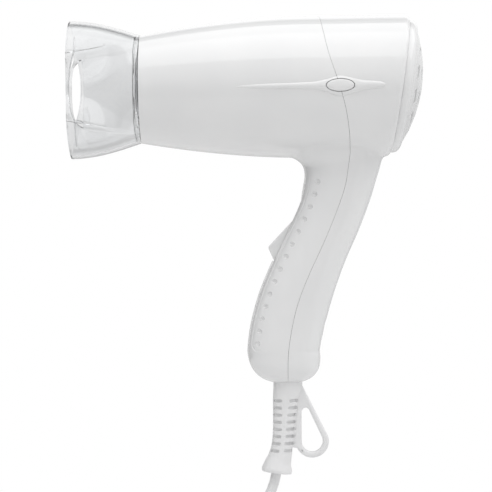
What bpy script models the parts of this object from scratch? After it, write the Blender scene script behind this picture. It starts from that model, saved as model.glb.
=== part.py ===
"""A compact hand-held hair dryer with a clear styling nozzle, built piece by piece.

Metres, +Z up. The barrel lies along X with its nozzle towards -X, the handle hangs below it,
and the origin is the middle of the grip. The dryer is symmetric about the plane y = 0.
"""

import math

import bmesh
import bpy
from mathutils import Matrix, Vector

GAP = 0.0003
WALL = 0.0024
SIDES = (("left", -1), ("right", 1))

# The barrel: a cylinder behind its shoulder and a long taper in front of it.
BARREL_AXIS_Z = 0.088
BARREL_RADIUS = 0.038
NOSE_RADIUS = 0.0292
NOSE_X = -0.0915
SHOULDER_X = -0.006
TAPER_POWER = 1.75
TAIL_X = 0.0477
TAIL_TILT = math.radians(8.6)
TAIL_RIM_RADIUS = 0.0338
BARREL_SIDES = 36

# The handle: z, front edge x, back edge x and half its breadth in y, from the top down.
HANDLE_STATIONS = (
    (0.0600, -0.0150, 0.0420, 0.0195),
    (0.0540, -0.0145, 0.0410, 0.0193),
    (0.0500, -0.0098, 0.0388, 0.0180),
    (0.0469, -0.0058, 0.0376, 0.0172),
    (0.0433, -0.0041, 0.0366, 0.0168),
    (0.0377, -0.0042, 0.0348, 0.0163),
    (0.0269, -0.0068, 0.0314, 0.0158),
    (0.0108, -0.0142, 0.0251, 0.0155),
    (-0.0054, -0.0220, 0.0178, 0.0155),
    (-0.0215, -0.0290, 0.0117, 0.0157),
    (-0.0376, -0.0338, 0.0068, 0.0159),
    (-0.0483, -0.0356, 0.0041, 0.0160),
    (-0.0540, -0.0361, 0.0030, 0.0160),
)
HANDLE_END_Z = -0.0716
HANDLE_END_SHIFT = 0.0020
HANDLE_END_POWER = 2.6
HANDLE_SIDES = 24
HANDLE_SQUARENESS = 2.2

# The line along which front and rear housings part, as z and x.
PARTING_LINE = (
    (0.1300, 0.0040),
    (0.1046, 0.0083),
    (0.0888, 0.0131),
    (0.0727, 0.0175),
    (0.0541, 0.0200),
    (0.0440, 0.0190),
    (0.0323, 0.0168),
    (0.0083, 0.0075),
    (-0.0158, -0.0038),
    (-0.0312, -0.0096),
    (-0.0492, -0.0135),
    (-0.0610, -0.0145),
    (-0.0800, -0.0142),
)

# The streamlined ridge on each side and the oval cap in it.
RIDGE_Z = 0.0859
RIDGE_START_X = -0.0600
RIDGE_END_X = 0.0366
CAP_X = 0.0144
CAP_HALF_LENGTH = 0.0073
CAP_HALF_HEIGHT = 0.0032
CAP_POCKET_Y = 0.0368
RIDGE_TOP_Y = 0.0390

# The domed inlet grille, and its rings of slots as radius, count and half length.
DOME_APEX = 0.0123
DOME_RADIUS = 0.0720
SLOT_RINGS = (
    (0.0245, 12, 0.0042),
    (0.0165, 8, 0.0038),
    (0.0092, 5, 0.0028),
)

# The nozzle: a flared horn whose two sides are scooped in towards the mouth.
NOZZLE_BACK_X = NOSE_X - GAP
NOZZLE_MOUTH_X = -0.1293
NOZZLE_ARC = 0.0022
NOZZLE_WALL = 0.0016
NOZZLE_BACK_RADIUS = 0.0292
NOZZLE_MOUTH_HALF_HEIGHT = 0.0371
NOZZLE_MOUTH_HALF_DEPTH = 0.0310
NOZZLE_SCOOP = 0.0220
CREASE_BACK = 0.0245
CREASE_MOUTH = 0.0180
NOZZLE_SIDES = 44
NOZZLE_SLEEVE_RADIUS = 0.0252
NOZZLE_BORE_RADIUS = 0.0238
NOZZLE_SLEEVE_END_X = -0.0840
WINDOW_FRONT_X = -0.1300
WINDOW_BACK_X = -0.1249
WINDOW_HALF_HEIGHT = 0.0185

# The slide switch on the handle's front, off at the bottom of its track.
SWITCH_ORIGIN = Vector((-0.0167, 0.0, 0.0053))
SLIDE_DIRECTION = Vector((0.446, 0.0, 0.895)).normalized()
KNOB_LOW = -0.0111
KNOB_HIGH = 0.0117
KNOB_HALF_WIDTH = 0.0055
NECK_HALF_LENGTH = 0.0025
NECK_HALF_WIDTH = 0.0019
SLIDE_TRAVEL = 0.0080
TRACK_FLOOR = -0.0015
TRACK_MARGIN = 0.0007
SLOT_MARGIN = 0.0004

# The screws that hold the housings together.
HANDLE_SCREW_Z = -0.0400
HANDLE_SCREW_X = 0.0022
HANDLE_BOSS_X = 0.0048
HANDLE_BOSS_LENGTH = 0.0365
SCREW_HOLE_START_X = 0.0200
SCREW_HOLE_LENGTH = 0.0445
SCREW_HOLE_RADIUS = 0.0017
SIDE_SCREW_Y = CAP_POCKET_Y + 0.0013

# The strain relief's centre line from the handle down: x, z and radius.
RELIEF_STATIONS = (
    (-0.0144, -0.0719, 0.0078),
    (-0.0148, -0.0745, 0.0076),
    (-0.0157, -0.0791, 0.0069),
    (-0.0165, -0.0883, 0.0062),
    (-0.0172, -0.0980, 0.0057),
    (-0.0182, -0.1067, 0.0058),
    (-0.0194, -0.1120, 0.0068),
    (-0.0203, -0.1150, 0.0078),
    (-0.0210, -0.1186, 0.0080),
    (-0.0213, -0.1197, 0.0070),
)
RELIEF_SLOT_ROWS = 8
LOOP_EYE = Vector((-0.0017, 0.0, -0.1030))
LOOP_OUTER_RADIUS = 0.0090
LOOP_HOLE_RADIUS = 0.0057
LOOP_THICKNESS = 0.0050

# The mains cord, its coil and its plug.
CORD_DIAMETER = 0.0054
CORD_ROUTE = (
    (-0.0213, 0.0, -0.1197),
    (-0.0222, 0.0, -0.1240),
    (-0.0234, 0.0, -0.1275),
    (-0.0249, 0.0, -0.1309),
    (-0.0268, 0.0, -0.1341),
    (-0.0290, -0.0002, -0.1370),
)
COIL_CENTRE = Vector((-0.0256, 0.0, -0.1798))
COIL_MIDDLE_RADIUS = 0.0310
COIL_PITCH = 0.0055
COIL_HALF_SECTION = 0.00825
TIE_ANGLE = math.radians(140)
TAIL_EXIT = COIL_CENTRE + Vector((-COIL_MIDDLE_RADIUS - COIL_PITCH, COIL_PITCH, 0.0))
TAIL_START_Z = -0.2014
PLUG_TOP_Z = -0.2250
PLUG_SLEEVE_LENGTH = 0.0160
PLUG_BODY_LENGTH = 0.0270
BLADE_LENGTH = 0.0165
BLADE_WIDTH = 0.0063
BLADE_THICKNESS = 0.0015
BLADE_SPACING = 0.0127

# Colours as linear red, green and blue.
WHITE = (0.86, 0.86, 0.86)
CLEAR = (0.92, 0.93, 0.94)
CORD_GREY = (0.62, 0.62, 0.62)
MICA = (0.72, 0.62, 0.45)
STEEL = (0.56, 0.56, 0.57)
BRASS = (0.75, 0.58, 0.28)
NICHROME = (0.42, 0.40, 0.38)
BLACK = (0.03, 0.03, 0.03)
BOARD_GREEN = (0.05, 0.22, 0.10)
FIRED_GREY = (0.20, 0.20, 0.20)

# The parts inside the barrel.
GRILLE_BACK_X = -0.0810
HEATER_FRONT_X = -0.0790
HEATER_BACK_X = -0.0120
MICA_RADIUS = 0.0262
BOARD_HALF_WIDTH = 0.0190
BOARD_THICKNESS = 0.0008
COIL_WIRE_RADIUS = 0.0206
MOTOR_RADIUS = 0.0138
MOTOR_FRONT_X = -0.0040
MOTOR_BACK_X = 0.0230
FAN_FRONT_X = 0.0290
FAN_BACK_X = 0.0390
FAN_RADIUS = 0.0290
BLADE_COUNT = 7
VANE_COUNT = 6


def clear_scene():
    for obj in list(bpy.data.objects):
        bpy.data.objects.remove(obj)


def plastic(name, colour, roughness=0.25, metallic=0.0, alpha=1.0):
    """A Principled material with this colour and finish."""
    made = bpy.data.materials.new(name)
    made.use_nodes = True
    shader = made.node_tree.nodes["Principled BSDF"]
    shader.inputs["Base Color"].default_value = (*colour, 1.0)
    shader.inputs["Roughness"].default_value = roughness
    shader.inputs["Metallic"].default_value = metallic
    shader.inputs["Alpha"].default_value = alpha
    made.diffuse_color = (*colour, alpha)
    return made


def add_object(name, bm, material, location=(0, 0, 0), turn=None):
    """The bmesh as a named object, smooth where its faces nearly line up."""
    bmesh.ops.recalc_face_normals(bm, faces=bm.faces)
    mesh = bpy.data.meshes.new(name)
    bm.to_mesh(mesh)
    bm.free()
    mesh.materials.append(material)
    mesh.shade_smooth()
    mesh.set_sharp_from_angle(angle=math.radians(35))
    obj = bpy.data.objects.new(name, mesh)
    matrix = Matrix.Translation(Vector(location))
    if turn is not None:
        matrix = matrix @ turn
    obj.matrix_world = matrix
    bpy.context.scene.collection.objects.link(obj)
    return obj


def helper(obj):
    """Marks an object as a Boolean's tool, which isn't a piece of the dryer."""
    obj.hide_render = True
    obj.display_type = "WIRE"
    return obj


def combine(target, tool, operation):
    modifier = target.modifiers.new(f"{operation.lower()}_{tool.name}", "BOOLEAN")
    modifier.operation = operation
    modifier.solver = "EXACT"
    modifier.object = helper(tool)


def cut(target, *tools):
    for tool in tools:
        combine(target, tool, "DIFFERENCE")


def join(target, *tools):
    for tool in tools:
        combine(target, tool, "UNION")


def smooth_value(stations, at):
    """A smooth curve through (position, value) pairs, read at one position."""
    ordered = sorted(stations)
    if at <= ordered[0][0]:
        return ordered[0][1]
    if at >= ordered[-1][0]:
        return ordered[-1][1]
    index = max(i for i, station in enumerate(ordered[:-1]) if station[0] <= at)

    def slope(i):
        low = ordered[max(i - 1, 0)]
        high = ordered[min(i + 1, len(ordered) - 1)]
        return (high[1] - low[1]) / (high[0] - low[0])

    (x0, y0), (x1, y1) = ordered[index], ordered[index + 1]
    span = x1 - x0
    t = (at - x0) / span
    rise0 = slope(index) * span
    rise1 = slope(index + 1) * span
    return (
        (2 * t**3 - 3 * t**2 + 1) * y0
        + (t**3 - 2 * t**2 + t) * rise0
        + (3 * t**2 - 2 * t**3) * y1
        + (t**3 - t**2) * rise1
    )


def smooth_curve(route, steps):
    """Points on a smooth curve through the route, with so many steps between two of its points."""
    route = [Vector(point) for point in route]
    points = []
    for i in range(len(route) - 1):
        before = route[max(i - 1, 0)]
        start, end = route[i], route[i + 1]
        after = route[min(i + 2, len(route) - 1)]
        for step in range(steps):
            t = step / steps
            rise0 = (end - before) / 2
            rise1 = (after - start) / 2
            points.append(
                (2 * t**3 - 3 * t**2 + 1) * start
                + (t**3 - 2 * t**2 + t) * rise0
                + (3 * t**2 - 2 * t**3) * end
                + (t**3 - t**2) * rise1
            )
    return points + [route[-1]]


def loft(rings):
    """A closed body through rings of points, its two ends closed by fans."""
    bm = bmesh.new()
    layers = [[bm.verts.new(point) for point in ring] for ring in rings]
    count = len(layers[0])
    for near, far in zip(layers, layers[1:]):
        for i in range(count):
            j = (i + 1) % count
            bm.faces.new((near[i], near[j], far[j], far[i]))
    for layer in (layers[0], layers[-1]):
        middle = bm.verts.new(sum((vert.co for vert in layer), Vector()) / count)
        for i in range(count):
            bm.faces.new((layer[i], layer[(i + 1) % count], middle))
    bmesh.ops.triangulate(bm, faces=bm.faces)
    return bm


def closed_sweep(sections):
    """A ring-shaped body through sections that run round and meet the first again."""
    bm = bmesh.new()
    layers = [[bm.verts.new(point) for point in section] for section in sections]
    count = len(layers[0])
    for index, near in enumerate(layers):
        far = layers[(index + 1) % len(layers)]
        for i in range(count):
            j = (i + 1) % count
            bm.faces.new((near[i], near[j], far[j], far[i]))
    return bm


def turned_ring(profile, sides=32):
    """A ring turned about +X from a closed profile of (along, radius)."""
    sections = []
    for side in range(sides):
        angle = 2 * math.pi * side / sides
        out = Vector((0, math.cos(angle), math.sin(angle)))
        sections.append([Vector((along, 0, 0)) + out * radius for along, radius in profile])
    return closed_sweep(sections)


def turned_body(profile, sides=24):
    """A solid turned about +X from (along, radius) pairs, its ends closed flat."""
    rings = []
    for along, radius in profile:
        ring = []
        for side in range(sides):
            angle = 2 * math.pi * side / sides
            ring.append(Vector((along, radius * math.cos(angle), radius * math.sin(angle))))
        rings.append(ring)
    return loft(rings)


def box(low, high):
    bm = bmesh.new()
    bmesh.ops.create_cube(bm, size=1.0)
    size = [high[i] - low[i] for i in range(3)]
    middle = [(high[i] + low[i]) / 2 for i in range(3)]
    bmesh.ops.scale(bm, vec=size, verts=bm.verts)
    bmesh.ops.translate(bm, vec=middle, verts=bm.verts)
    return bm


def gather(whole, made):
    """Adds one bmesh to another."""
    mesh = bpy.data.meshes.new("gathered")
    made.to_mesh(mesh)
    made.free()
    whole.from_mesh(mesh)
    bpy.data.meshes.remove(mesh)


def prism(outline, half_width):
    """An outline of (x, z) points stretched from -half_width to +half_width in y."""
    bm = bmesh.new()
    near = [bm.verts.new((x, -half_width, z)) for x, z in outline]
    far = [bm.verts.new((x, half_width, z)) for x, z in outline]
    bm.faces.new(near)
    bm.faces.new(reversed(far))
    count = len(outline)
    for i in range(count):
        j = (i + 1) % count
        bm.faces.new((near[i], far[i], far[j], near[j]))
    return bm


def tube(name, points, diameter, material, resolution=2):
    """A round tube along a chain of points, its ends closed."""
    curve = bpy.data.curves.new(name, "CURVE")
    curve.dimensions = "3D"
    curve.fill_mode = "FULL"
    curve.bevel_depth = diameter / 2
    curve.bevel_resolution = resolution
    curve.use_fill_caps = True
    spline = curve.splines.new("POLY")
    spline.points.add(len(points) - 1)
    for spot, point in zip(spline.points, points):
        spot.co = (*point, 1.0)
    curve.materials.append(material)
    obj = bpy.data.objects.new(name, curve)
    bpy.context.scene.collection.objects.link(obj)
    return obj


ON_BARREL_AXIS = Vector((0, 0, BARREL_AXIS_Z))
TAIL_CENTRE = Vector((TAIL_X, 0, BARREL_AXIS_Z))
TAIL_TURN = Matrix.Rotation(TAIL_TILT, 4, "Y")
ALONG_Y = Matrix.Rotation(math.radians(90), 4, "Z")


def barrel_radius(x):
    """The barrel's outer radius at x."""
    if x >= SHOULDER_X:
        return BARREL_RADIUS
    share = (SHOULDER_X - x) / (SHOULDER_X - NOSE_X)
    return BARREL_RADIUS - (BARREL_RADIUS - NOSE_RADIUS) * share**TAPER_POWER


def barrel_ring(x, radius, lean):
    """A ring of the barrel; lean 1 tilts it into the plane of the rear opening."""
    ring = []
    for side in range(BARREL_SIDES):
        angle = 2 * math.pi * side / BARREL_SIDES
        rise = radius * math.sin(angle)
        along = x + lean * rise * math.tan(TAIL_TILT)
        ring.append((along, radius * math.cos(angle), BARREL_AXIS_Z + rise))
    return ring


def barrel_stations():
    """Stations along the barrel, closer where its taper curves more."""
    count = 6
    return [NOSE_X + (SHOULDER_X - NOSE_X) * i / count for i in range(count + 1)]


def barrel_outside():
    rings = [barrel_ring(x, barrel_radius(x), 0) for x in barrel_stations()]
    rings.append(barrel_ring(TAIL_X - 0.0022, BARREL_RADIUS, 1))
    rings.append(barrel_ring(TAIL_X - 0.0007, BARREL_RADIUS - 0.0006, 1))
    rings.append(barrel_ring(TAIL_X, BARREL_RADIUS - 0.0018, 1))
    return loft(rings)


def barrel_inside():
    """The hollow of the barrel, with the narrower rim that the rear ring snaps into."""
    rim_depth = 0.0032
    rings = [barrel_ring(NOSE_X - 0.004, NOSE_RADIUS - WALL, 0)]
    rings += [barrel_ring(x, barrel_radius(x) - WALL, 0) for x in barrel_stations()]
    rings.append(barrel_ring(TAIL_X - rim_depth - 0.0004, BARREL_RADIUS - WALL, 1))
    rings.append(barrel_ring(TAIL_X - rim_depth, TAIL_RIM_RADIUS, 1))
    rings.append(barrel_ring(TAIL_X + 0.004, TAIL_RIM_RADIUS, 1))
    return loft(rings)


def handle_size(z):
    """Middle x, half length and half breadth of the handle's section at height z."""
    held = max(z, HANDLE_STATIONS[-1][0])
    front = smooth_value([(row[0], row[1]) for row in HANDLE_STATIONS], held)
    back = smooth_value([(row[0], row[2]) for row in HANDLE_STATIONS], held)
    breadth = smooth_value([(row[0], row[3]) for row in HANDLE_STATIONS], held)
    drop = (held - z) / (HANDLE_STATIONS[-1][0] - HANDLE_END_Z)
    closing = (1 - drop**HANDLE_END_POWER) ** (1 / HANDLE_END_POWER)
    middle = (front + back) / 2 + HANDLE_END_SHIFT * drop
    return middle, (back - front) / 2 * closing, breadth * closing


def handle_ring(z, inset):
    middle, half_length, half_breadth = handle_size(z)
    power = 2 / HANDLE_SQUARENESS
    ring = []
    for side in range(HANDLE_SIDES):
        angle = 2 * math.pi * side / HANDLE_SIDES
        across, along = math.cos(angle), math.sin(angle)
        x = (half_length - inset) * math.copysign(abs(across) ** power, across)
        y = (half_breadth - inset) * math.copysign(abs(along) ** power, along)
        ring.append((middle + x, y, z))
    return ring


def handle_body(top_z, inset):
    """The handle, or its hollow where inset is the wall."""
    straight = HANDLE_STATIONS[-1][0]
    heights = [top_z] + [row[0] for row in HANDLE_STATIONS[1:]]
    rings = [handle_ring(z, inset) for z in heights]
    rounded = straight - HANDLE_END_Z
    for share in (0.3, 0.55, 0.75, 0.88, 0.96):
        z = straight - rounded * share
        if handle_size(z)[2] > inset * 1.6 and z > HANDLE_END_Z + inset:
            rings.append(handle_ring(z, inset))
    return loft(rings)


def parting_x(z):
    return smooth_value(PARTING_LINE, z)


def parting_outline(side, offset):
    """Everything on one side of the parting line: side -1 is in front of it, +1 behind."""
    top, bottom = PARTING_LINE[0][0], PARTING_LINE[-1][0]
    steps = 26
    outline = []
    for step in range(steps + 1):
        z = top + (bottom - top) * step / steps
        outline.append((parting_x(z) + offset, z))
    far_x = 0.16 * side
    outline += [(far_x, bottom), (far_x, top)]
    return outline


def ridge_body(side):
    """The streamlined ridge on one side, thickest round its oval cap."""
    rings = []
    stations = (
        (RIDGE_START_X, 0.0004, -0.0012),
        (-0.0300, 0.0012, 0.0005),
        (0.0000, 0.0019, 0.0007),
        (0.0060, 0.0034, 0.0009),
        (CAP_X, 0.0052, 0.0010),
        (0.0222, 0.0034, 0.0009),
        (0.0270, 0.0021, 0.0007),
        (0.0330, 0.0017, 0.0005),
        (RIDGE_END_X, 0.0004, -0.0006),
    )
    for x, half_height, proud in stations:
        top = math.sqrt(barrel_radius(x) ** 2 - (BARREL_AXIS_Z - RIDGE_Z) ** 2)
        ring = []
        for corner in range(10):
            angle = 2 * math.pi * corner / 10
            y = top - 0.0012 + (0.0012 + proud) * math.sin(angle)
            ring.append((x, side * y, RIDGE_Z + half_height * math.cos(angle)))
        rings.append(ring)
    return loft(rings)


def oval_body(half_length, half_height, low_y, high_y, side):
    """An upright oval plug along y, slightly crowned at its outer end."""
    rings = []
    for y, share in ((low_y, 1.0), (high_y - 0.0004, 1.0), (high_y, 0.86)):
        ring = []
        for corner in range(16):
            angle = 2 * math.pi * corner / 16
            x = CAP_X + half_length * share * math.cos(angle)
            z = RIDGE_Z + half_height * share * math.sin(angle)
            ring.append((x, side * y, z))
        rings.append(ring)
    return loft(rings)


def screw_body(head_radius, head_length, shank_radius, shank_length):
    """A screw along +X: its head's face at 0, its shank towards -X."""
    return turned_body(
        (
            (0, head_radius * 0.8),
            (-head_length * 0.4, head_radius),
            (-head_length, head_radius),
            (-head_length, shank_radius),
            (-shank_length, shank_radius),
            (-shank_length - shank_radius, shank_radius * 0.3),
        ),
        12,
    )


def bore(name, start, direction, length, radius, material, sides=12):
    """A round cutter from a point along a direction."""
    turn = Vector(direction).to_track_quat("X", "Z").to_matrix().to_4x4()
    return add_object(name, turned_body(((0, radius), (length, radius)), sides), material, start, turn)


def switch_frame():
    """The switch's own axes: x along the slide, y across, z out of the handle."""
    outwards = Vector((-SLIDE_DIRECTION.z, 0, SLIDE_DIRECTION.x))
    across = outwards.cross(SLIDE_DIRECTION)
    turn = Matrix((SLIDE_DIRECTION, across, outwards)).transposed()
    return turn.to_4x4()


SWITCH_TURN = switch_frame()


def cut_screw_and_cord_holes(shell, name, white):
    """The handle screw's hole, the cord's hole, and on each side an oval pocket with its screw's hole."""
    start = (SCREW_HOLE_START_X, 0, HANDLE_SCREW_Z)
    cut(shell, bore(f"{name}_screw_hole", start, (-1, 0, 0), SCREW_HOLE_LENGTH, SCREW_HOLE_RADIUS, white))
    neck_start = (RELIEF_STATIONS[0][0], 0, -0.060)
    cut(shell, bore(f"{name}_cord_hole", neck_start, (0, 0, -1), 0.020, 0.0058, white, 20))
    for label, side in SIDES:
        pocket = oval_body(CAP_HALF_LENGTH + GAP, CAP_HALF_HEIGHT + GAP, CAP_POCKET_Y, 0.0430, side)
        cut(shell, add_object(f"{name}_pocket_{label}", pocket, white))
        start = (CAP_X, side * 0.040, RIDGE_Z)
        cut(shell, bore(f"{name}_side_hole_{label}", start, (0, -side, 0), 0.0060, 0.0018, white))


def housing(name, white, keep_side):
    """One of the two shells: barrel and handle joined, hollowed, and cut at the parting line."""
    shell = add_object(name, barrel_outside(), white)
    join(shell, add_object(f"{name}_handle", handle_body(0.0600, 0), white))
    for label, side in SIDES:
        join(shell, add_object(f"{name}_ridge_{label}", ridge_body(side), white))
    cut(shell, add_object(f"{name}_barrel_hollow", barrel_inside(), white))
    cut(shell, add_object(f"{name}_handle_hollow", handle_body(0.0610, WALL), white))
    boss_start = (HANDLE_BOSS_X, 0, HANDLE_SCREW_Z)
    join(shell, bore(f"{name}_boss", boss_start, (-1, 0, 0), HANDLE_BOSS_LENGTH, 0.0040, white))
    other_half = prism(parting_outline(-keep_side, keep_side * GAP / 2), 0.06)
    cut(shell, add_object(f"{name}_other_half", other_half, white))
    cut_screw_and_cord_holes(shell, name, white)
    return shell


def build_front_housing(white):
    """The front shell, with a sunk track for the knob and a slot for its neck."""
    shell = housing("front_housing", white, -1)
    half_width = KNOB_HALF_WIDTH + SLOT_MARGIN
    track = box(
        (KNOB_LOW - TRACK_MARGIN, -half_width, TRACK_FLOOR),
        (KNOB_HIGH + SLIDE_TRAVEL + TRACK_MARGIN, half_width, 0.0060),
    )
    cut(shell, add_object("switch_track", track, white, SWITCH_ORIGIN, SWITCH_TURN))
    half_width = NECK_HALF_WIDTH + SLOT_MARGIN
    slot = box(
        (-NECK_HALF_LENGTH - SLOT_MARGIN, -half_width, -0.0070),
        (NECK_HALF_LENGTH + SLIDE_TRAVEL + SLOT_MARGIN, half_width, 0.0010),
    )
    cut(shell, add_object("switch_slot", slot, white, SWITCH_ORIGIN, SWITCH_TURN))


def build_rear_housing(white):
    """The rear shell, with a deep counterbore over the handle screw's head."""
    shell = housing("rear_housing", white, 1)
    start = (SCREW_HOLE_START_X, 0, HANDLE_SCREW_Z)
    depth = SCREW_HOLE_START_X - HANDLE_SCREW_X + 0.0025
    cut(shell, bore("counterbore", start, (-1, 0, 0), depth, 0.0033, white, 16))


def build_housing_screws(steel, white):
    screw = screw_body(0.0029, 0.0020, 0.0014, 0.0230)
    add_object("handle_screw", screw, steel, (HANDLE_SCREW_X, 0, HANDLE_SCREW_Z))
    for label, side in SIDES:
        spin = Matrix.Rotation(math.radians(90 * side), 4, "Z")
        start = (CAP_X, side * SIDE_SCREW_Y, RIDGE_Z)
        small = screw_body(0.0025, 0.0010, 0.0014, 0.0065)
        add_object(f"side_screw_{label}", small, steel, start, spin)
        low_y = SIDE_SCREW_Y + GAP
        cap = oval_body(CAP_HALF_LENGTH, CAP_HALF_HEIGHT, low_y, RIDGE_TOP_Y, side)
        add_object(f"side_cap_{label}", cap, white)


def build_rear_ring(white):
    profile = (
        (-0.0040, 0.0318),
        (-0.0040, 0.0334),
        (0.0003, 0.0334),
        (0.0003, 0.0361),
        (0.0016, 0.0361),
        (0.0033, 0.0352),
        (0.0045, 0.0336),
        (0.0053, 0.0313),
        (0.0032, 0.0313),
        (0.0032, 0.0298),
        (0.0017, 0.0298),
        (0.0005, 0.0318),
    )
    add_object("rear_ring", turned_ring(profile, 30), white, TAIL_CENTRE, TAIL_TURN)


def build_inlet_grille(white):
    """A dome with three rings of slots round a middle hole."""
    centre = DOME_APEX - DOME_RADIUS
    outside = (0.0004, 0.0100, 0.0180, 0.0250, 0.0310)
    profile = [(centre + math.sqrt(DOME_RADIUS**2 - r**2), r) for r in outside]
    profile += [(0.0036, 0.0310), (0.0036, 0.0292)]
    hollow_radius = DOME_RADIUS - 0.0016
    inside = (0.0290, 0.0220, 0.0120, 0.0004)
    profile += [(centre + math.sqrt(hollow_radius**2 - r**2), r) for r in inside]
    grille = add_object("inlet_grille", turned_body(profile, 24), white, TAIL_CENTRE, TAIL_TURN)
    slots = bmesh.new()
    for ring_radius, count, half_length in SLOT_RINGS:
        for index in range(count):
            angle = 2 * math.pi * (index + 0.5) / count
            made = box((0.0, -half_length, -0.0014), (0.0200, half_length, 0.0014))
            move = Matrix.Rotation(angle, 4, "X") @ Matrix.Translation((0, 0, ring_radius))
            bmesh.ops.transform(made, matrix=move, verts=made.verts)
            gather(slots, made)
    cut(grille, add_object("grille_slots", slots, white, TAIL_CENTRE, TAIL_TURN))
    middle = turned_body(((0.0, 0.0030), (0.02, 0.0030)), 12)
    cut(grille, add_object("grille_middle", middle, white, TAIL_CENTRE, TAIL_TURN))


def build_dust_filter(mesh_grey):
    disc = turned_body(((0.0020, 0.0294), (0.0027, 0.0294)), 28)
    add_object("dust_filter", disc, mesh_grey, TAIL_CENTRE, TAIL_TURN)


def nozzle_section(share, inset):
    """Half height, half depth, scoop and crease height at a share of the way to the mouth."""
    open_up = math.sin(share * math.pi / 2)
    half_height = NOZZLE_BACK_RADIUS + (NOZZLE_MOUTH_HALF_HEIGHT - NOZZLE_BACK_RADIUS) * open_up
    half_depth = NOZZLE_BACK_RADIUS + (NOZZLE_MOUTH_HALF_DEPTH - NOZZLE_BACK_RADIUS) * open_up
    scoop = NOZZLE_SCOOP * max(share, 0.0) ** 0.8
    crease = CREASE_BACK + (CREASE_MOUTH - CREASE_BACK) * share
    return half_height - inset, half_depth - inset, scoop, crease


def nozzle_ring_points(x, inset):
    """One ring of the nozzle; near the mouth the rings bow forwards at mid height."""
    share = (NOZZLE_BACK_X - x) / (NOZZLE_BACK_X - NOZZLE_MOUTH_X)
    half_height, half_depth, scoop, crease = nozzle_section(min(share, 1.05), inset)
    ring = []
    for side in range(NOZZLE_SIDES):
        angle = 2 * math.pi * (side + 0.5) / NOZZLE_SIDES
        height = half_height * math.sin(angle)
        depth = half_depth * abs(math.cos(angle))
        if abs(height) < crease:
            depth -= scoop * (1 - (height / crease) ** 2)
        bow = NOZZLE_ARC * max(share, 0) ** 2 * (1 - (height / half_height) ** 2)
        ring.append((x - bow, math.copysign(depth, math.cos(angle)), BARREL_AXIS_Z + height))
    return ring


def nozzle_windows():
    """A lens-shaped prism that opens both scooped sides just behind the mouth's rim."""
    outline = []
    steps = 8
    corner_x = -0.1284
    half_corner = 0.0004
    for boundary_x, side in ((WINDOW_FRONT_X, -1), (WINDOW_BACK_X, 1)):
        for step in range(steps):
            height = WINDOW_HALF_HEIGHT * (2 * step / steps - 1) * -side
            bulge = 1 - (height / WINDOW_HALF_HEIGHT) ** 2
            x = corner_x + (boundary_x - corner_x) * bulge + side * half_corner
            outline.append((x, BARREL_AXIS_Z + height))
    return prism(outline, 0.045)


def build_nozzle(clear):
    length = NOZZLE_BACK_X - NOZZLE_MOUTH_X
    shares = (0, 0.2, 0.4, 0.6, 0.8, 1.0)
    outside = [nozzle_ring_points(NOZZLE_BACK_X - length * share, 0) for share in shares]
    nozzle = add_object("nozzle", loft(outside), clear)
    sleeve = turned_body(((-0.0926, NOZZLE_SLEEVE_RADIUS), (NOZZLE_SLEEVE_END_X, NOZZLE_SLEEVE_RADIUS)), 32)
    join(nozzle, add_object("nozzle_sleeve", sleeve, clear, ON_BARREL_AXIS))
    hollow_shares = (0.055, 0.2, 0.4, 0.6, 0.8, 1.0, 1.08)
    inside = [nozzle_ring_points(NOZZLE_BACK_X - length * share, NOZZLE_WALL) for share in hollow_shares]
    cut(nozzle, add_object("nozzle_hollow", loft(inside), clear))
    cut(nozzle, add_object("nozzle_windows", nozzle_windows(), clear))
    bored = turned_body(((-0.0990, NOZZLE_BORE_RADIUS), (-0.0800, NOZZLE_BORE_RADIUS)), 32)
    cut(nozzle, add_object("nozzle_bore", bored, clear, ON_BARREL_AXIS))


def build_nozzle_ring(steel):
    profile = ((-0.0900, 0.0255), (-0.0900, 0.0267), (-0.0860, 0.0267), (-0.0860, 0.0255))
    ring = turned_ring(profile, 28)
    bmesh.ops.translate(ring, vec=(-NOSE_X, 0, 0), verts=ring.verts)
    add_object("nozzle_ring", ring, steel, (NOSE_X, 0, BARREL_AXIS_Z))


def build_outlet_grille(grey):
    front = GRILLE_BACK_X - 0.0022
    rim = ((front, 0.0262), (front, 0.0279), (GRILLE_BACK_X, 0.0279), (GRILLE_BACK_X, 0.0262))
    grille = add_object("outlet_grille", turned_ring(rim, 32), grey, ON_BARREL_AXIS)
    inner = ((front, 0.0120), (front, 0.0134), (GRILLE_BACK_X, 0.0134), (GRILLE_BACK_X, 0.0120))
    join(grille, add_object("grille_inner_ring", turned_ring(inner, 20), grey, ON_BARREL_AXIS))
    for index in range(3):
        bar = box((front + 0.0003, -0.0270, -0.0006), (GRILLE_BACK_X - 0.0003, 0.0270, 0.0006))
        turn = Matrix.Rotation(math.radians(30 + 60 * index), 4, "X")
        join(grille, add_object(f"grille_bar_{index}", bar, grey, ON_BARREL_AXIS, turn))


def heater_board(name, mica, upright):
    """One of two crossed boards, slotted half way so that they slide into each other."""
    middle_x = (HEATER_FRONT_X + HEATER_BACK_X) / 2
    low = (HEATER_FRONT_X, -BOARD_THICKNESS / 2, -BOARD_HALF_WIDTH)
    high = (HEATER_BACK_X, BOARD_THICKNESS / 2, BOARD_HALF_WIDTH)
    turn = Matrix.Rotation(0 if upright else math.radians(90), 4, "X")
    board = add_object(name, box(low, high), mica, ON_BARREL_AXIS, turn)
    slot_half = BOARD_THICKNESS / 2 + GAP
    if upright:
        slot = box((middle_x - GAP, -0.002, -slot_half), (HEATER_BACK_X + 0.002, 0.002, slot_half))
    else:
        slot = box((HEATER_FRONT_X - 0.002, -0.002, -slot_half), (middle_x + GAP, 0.002, slot_half))
    cut(board, add_object(f"{name}_slot", slot, mica, ON_BARREL_AXIS, turn))


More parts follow.
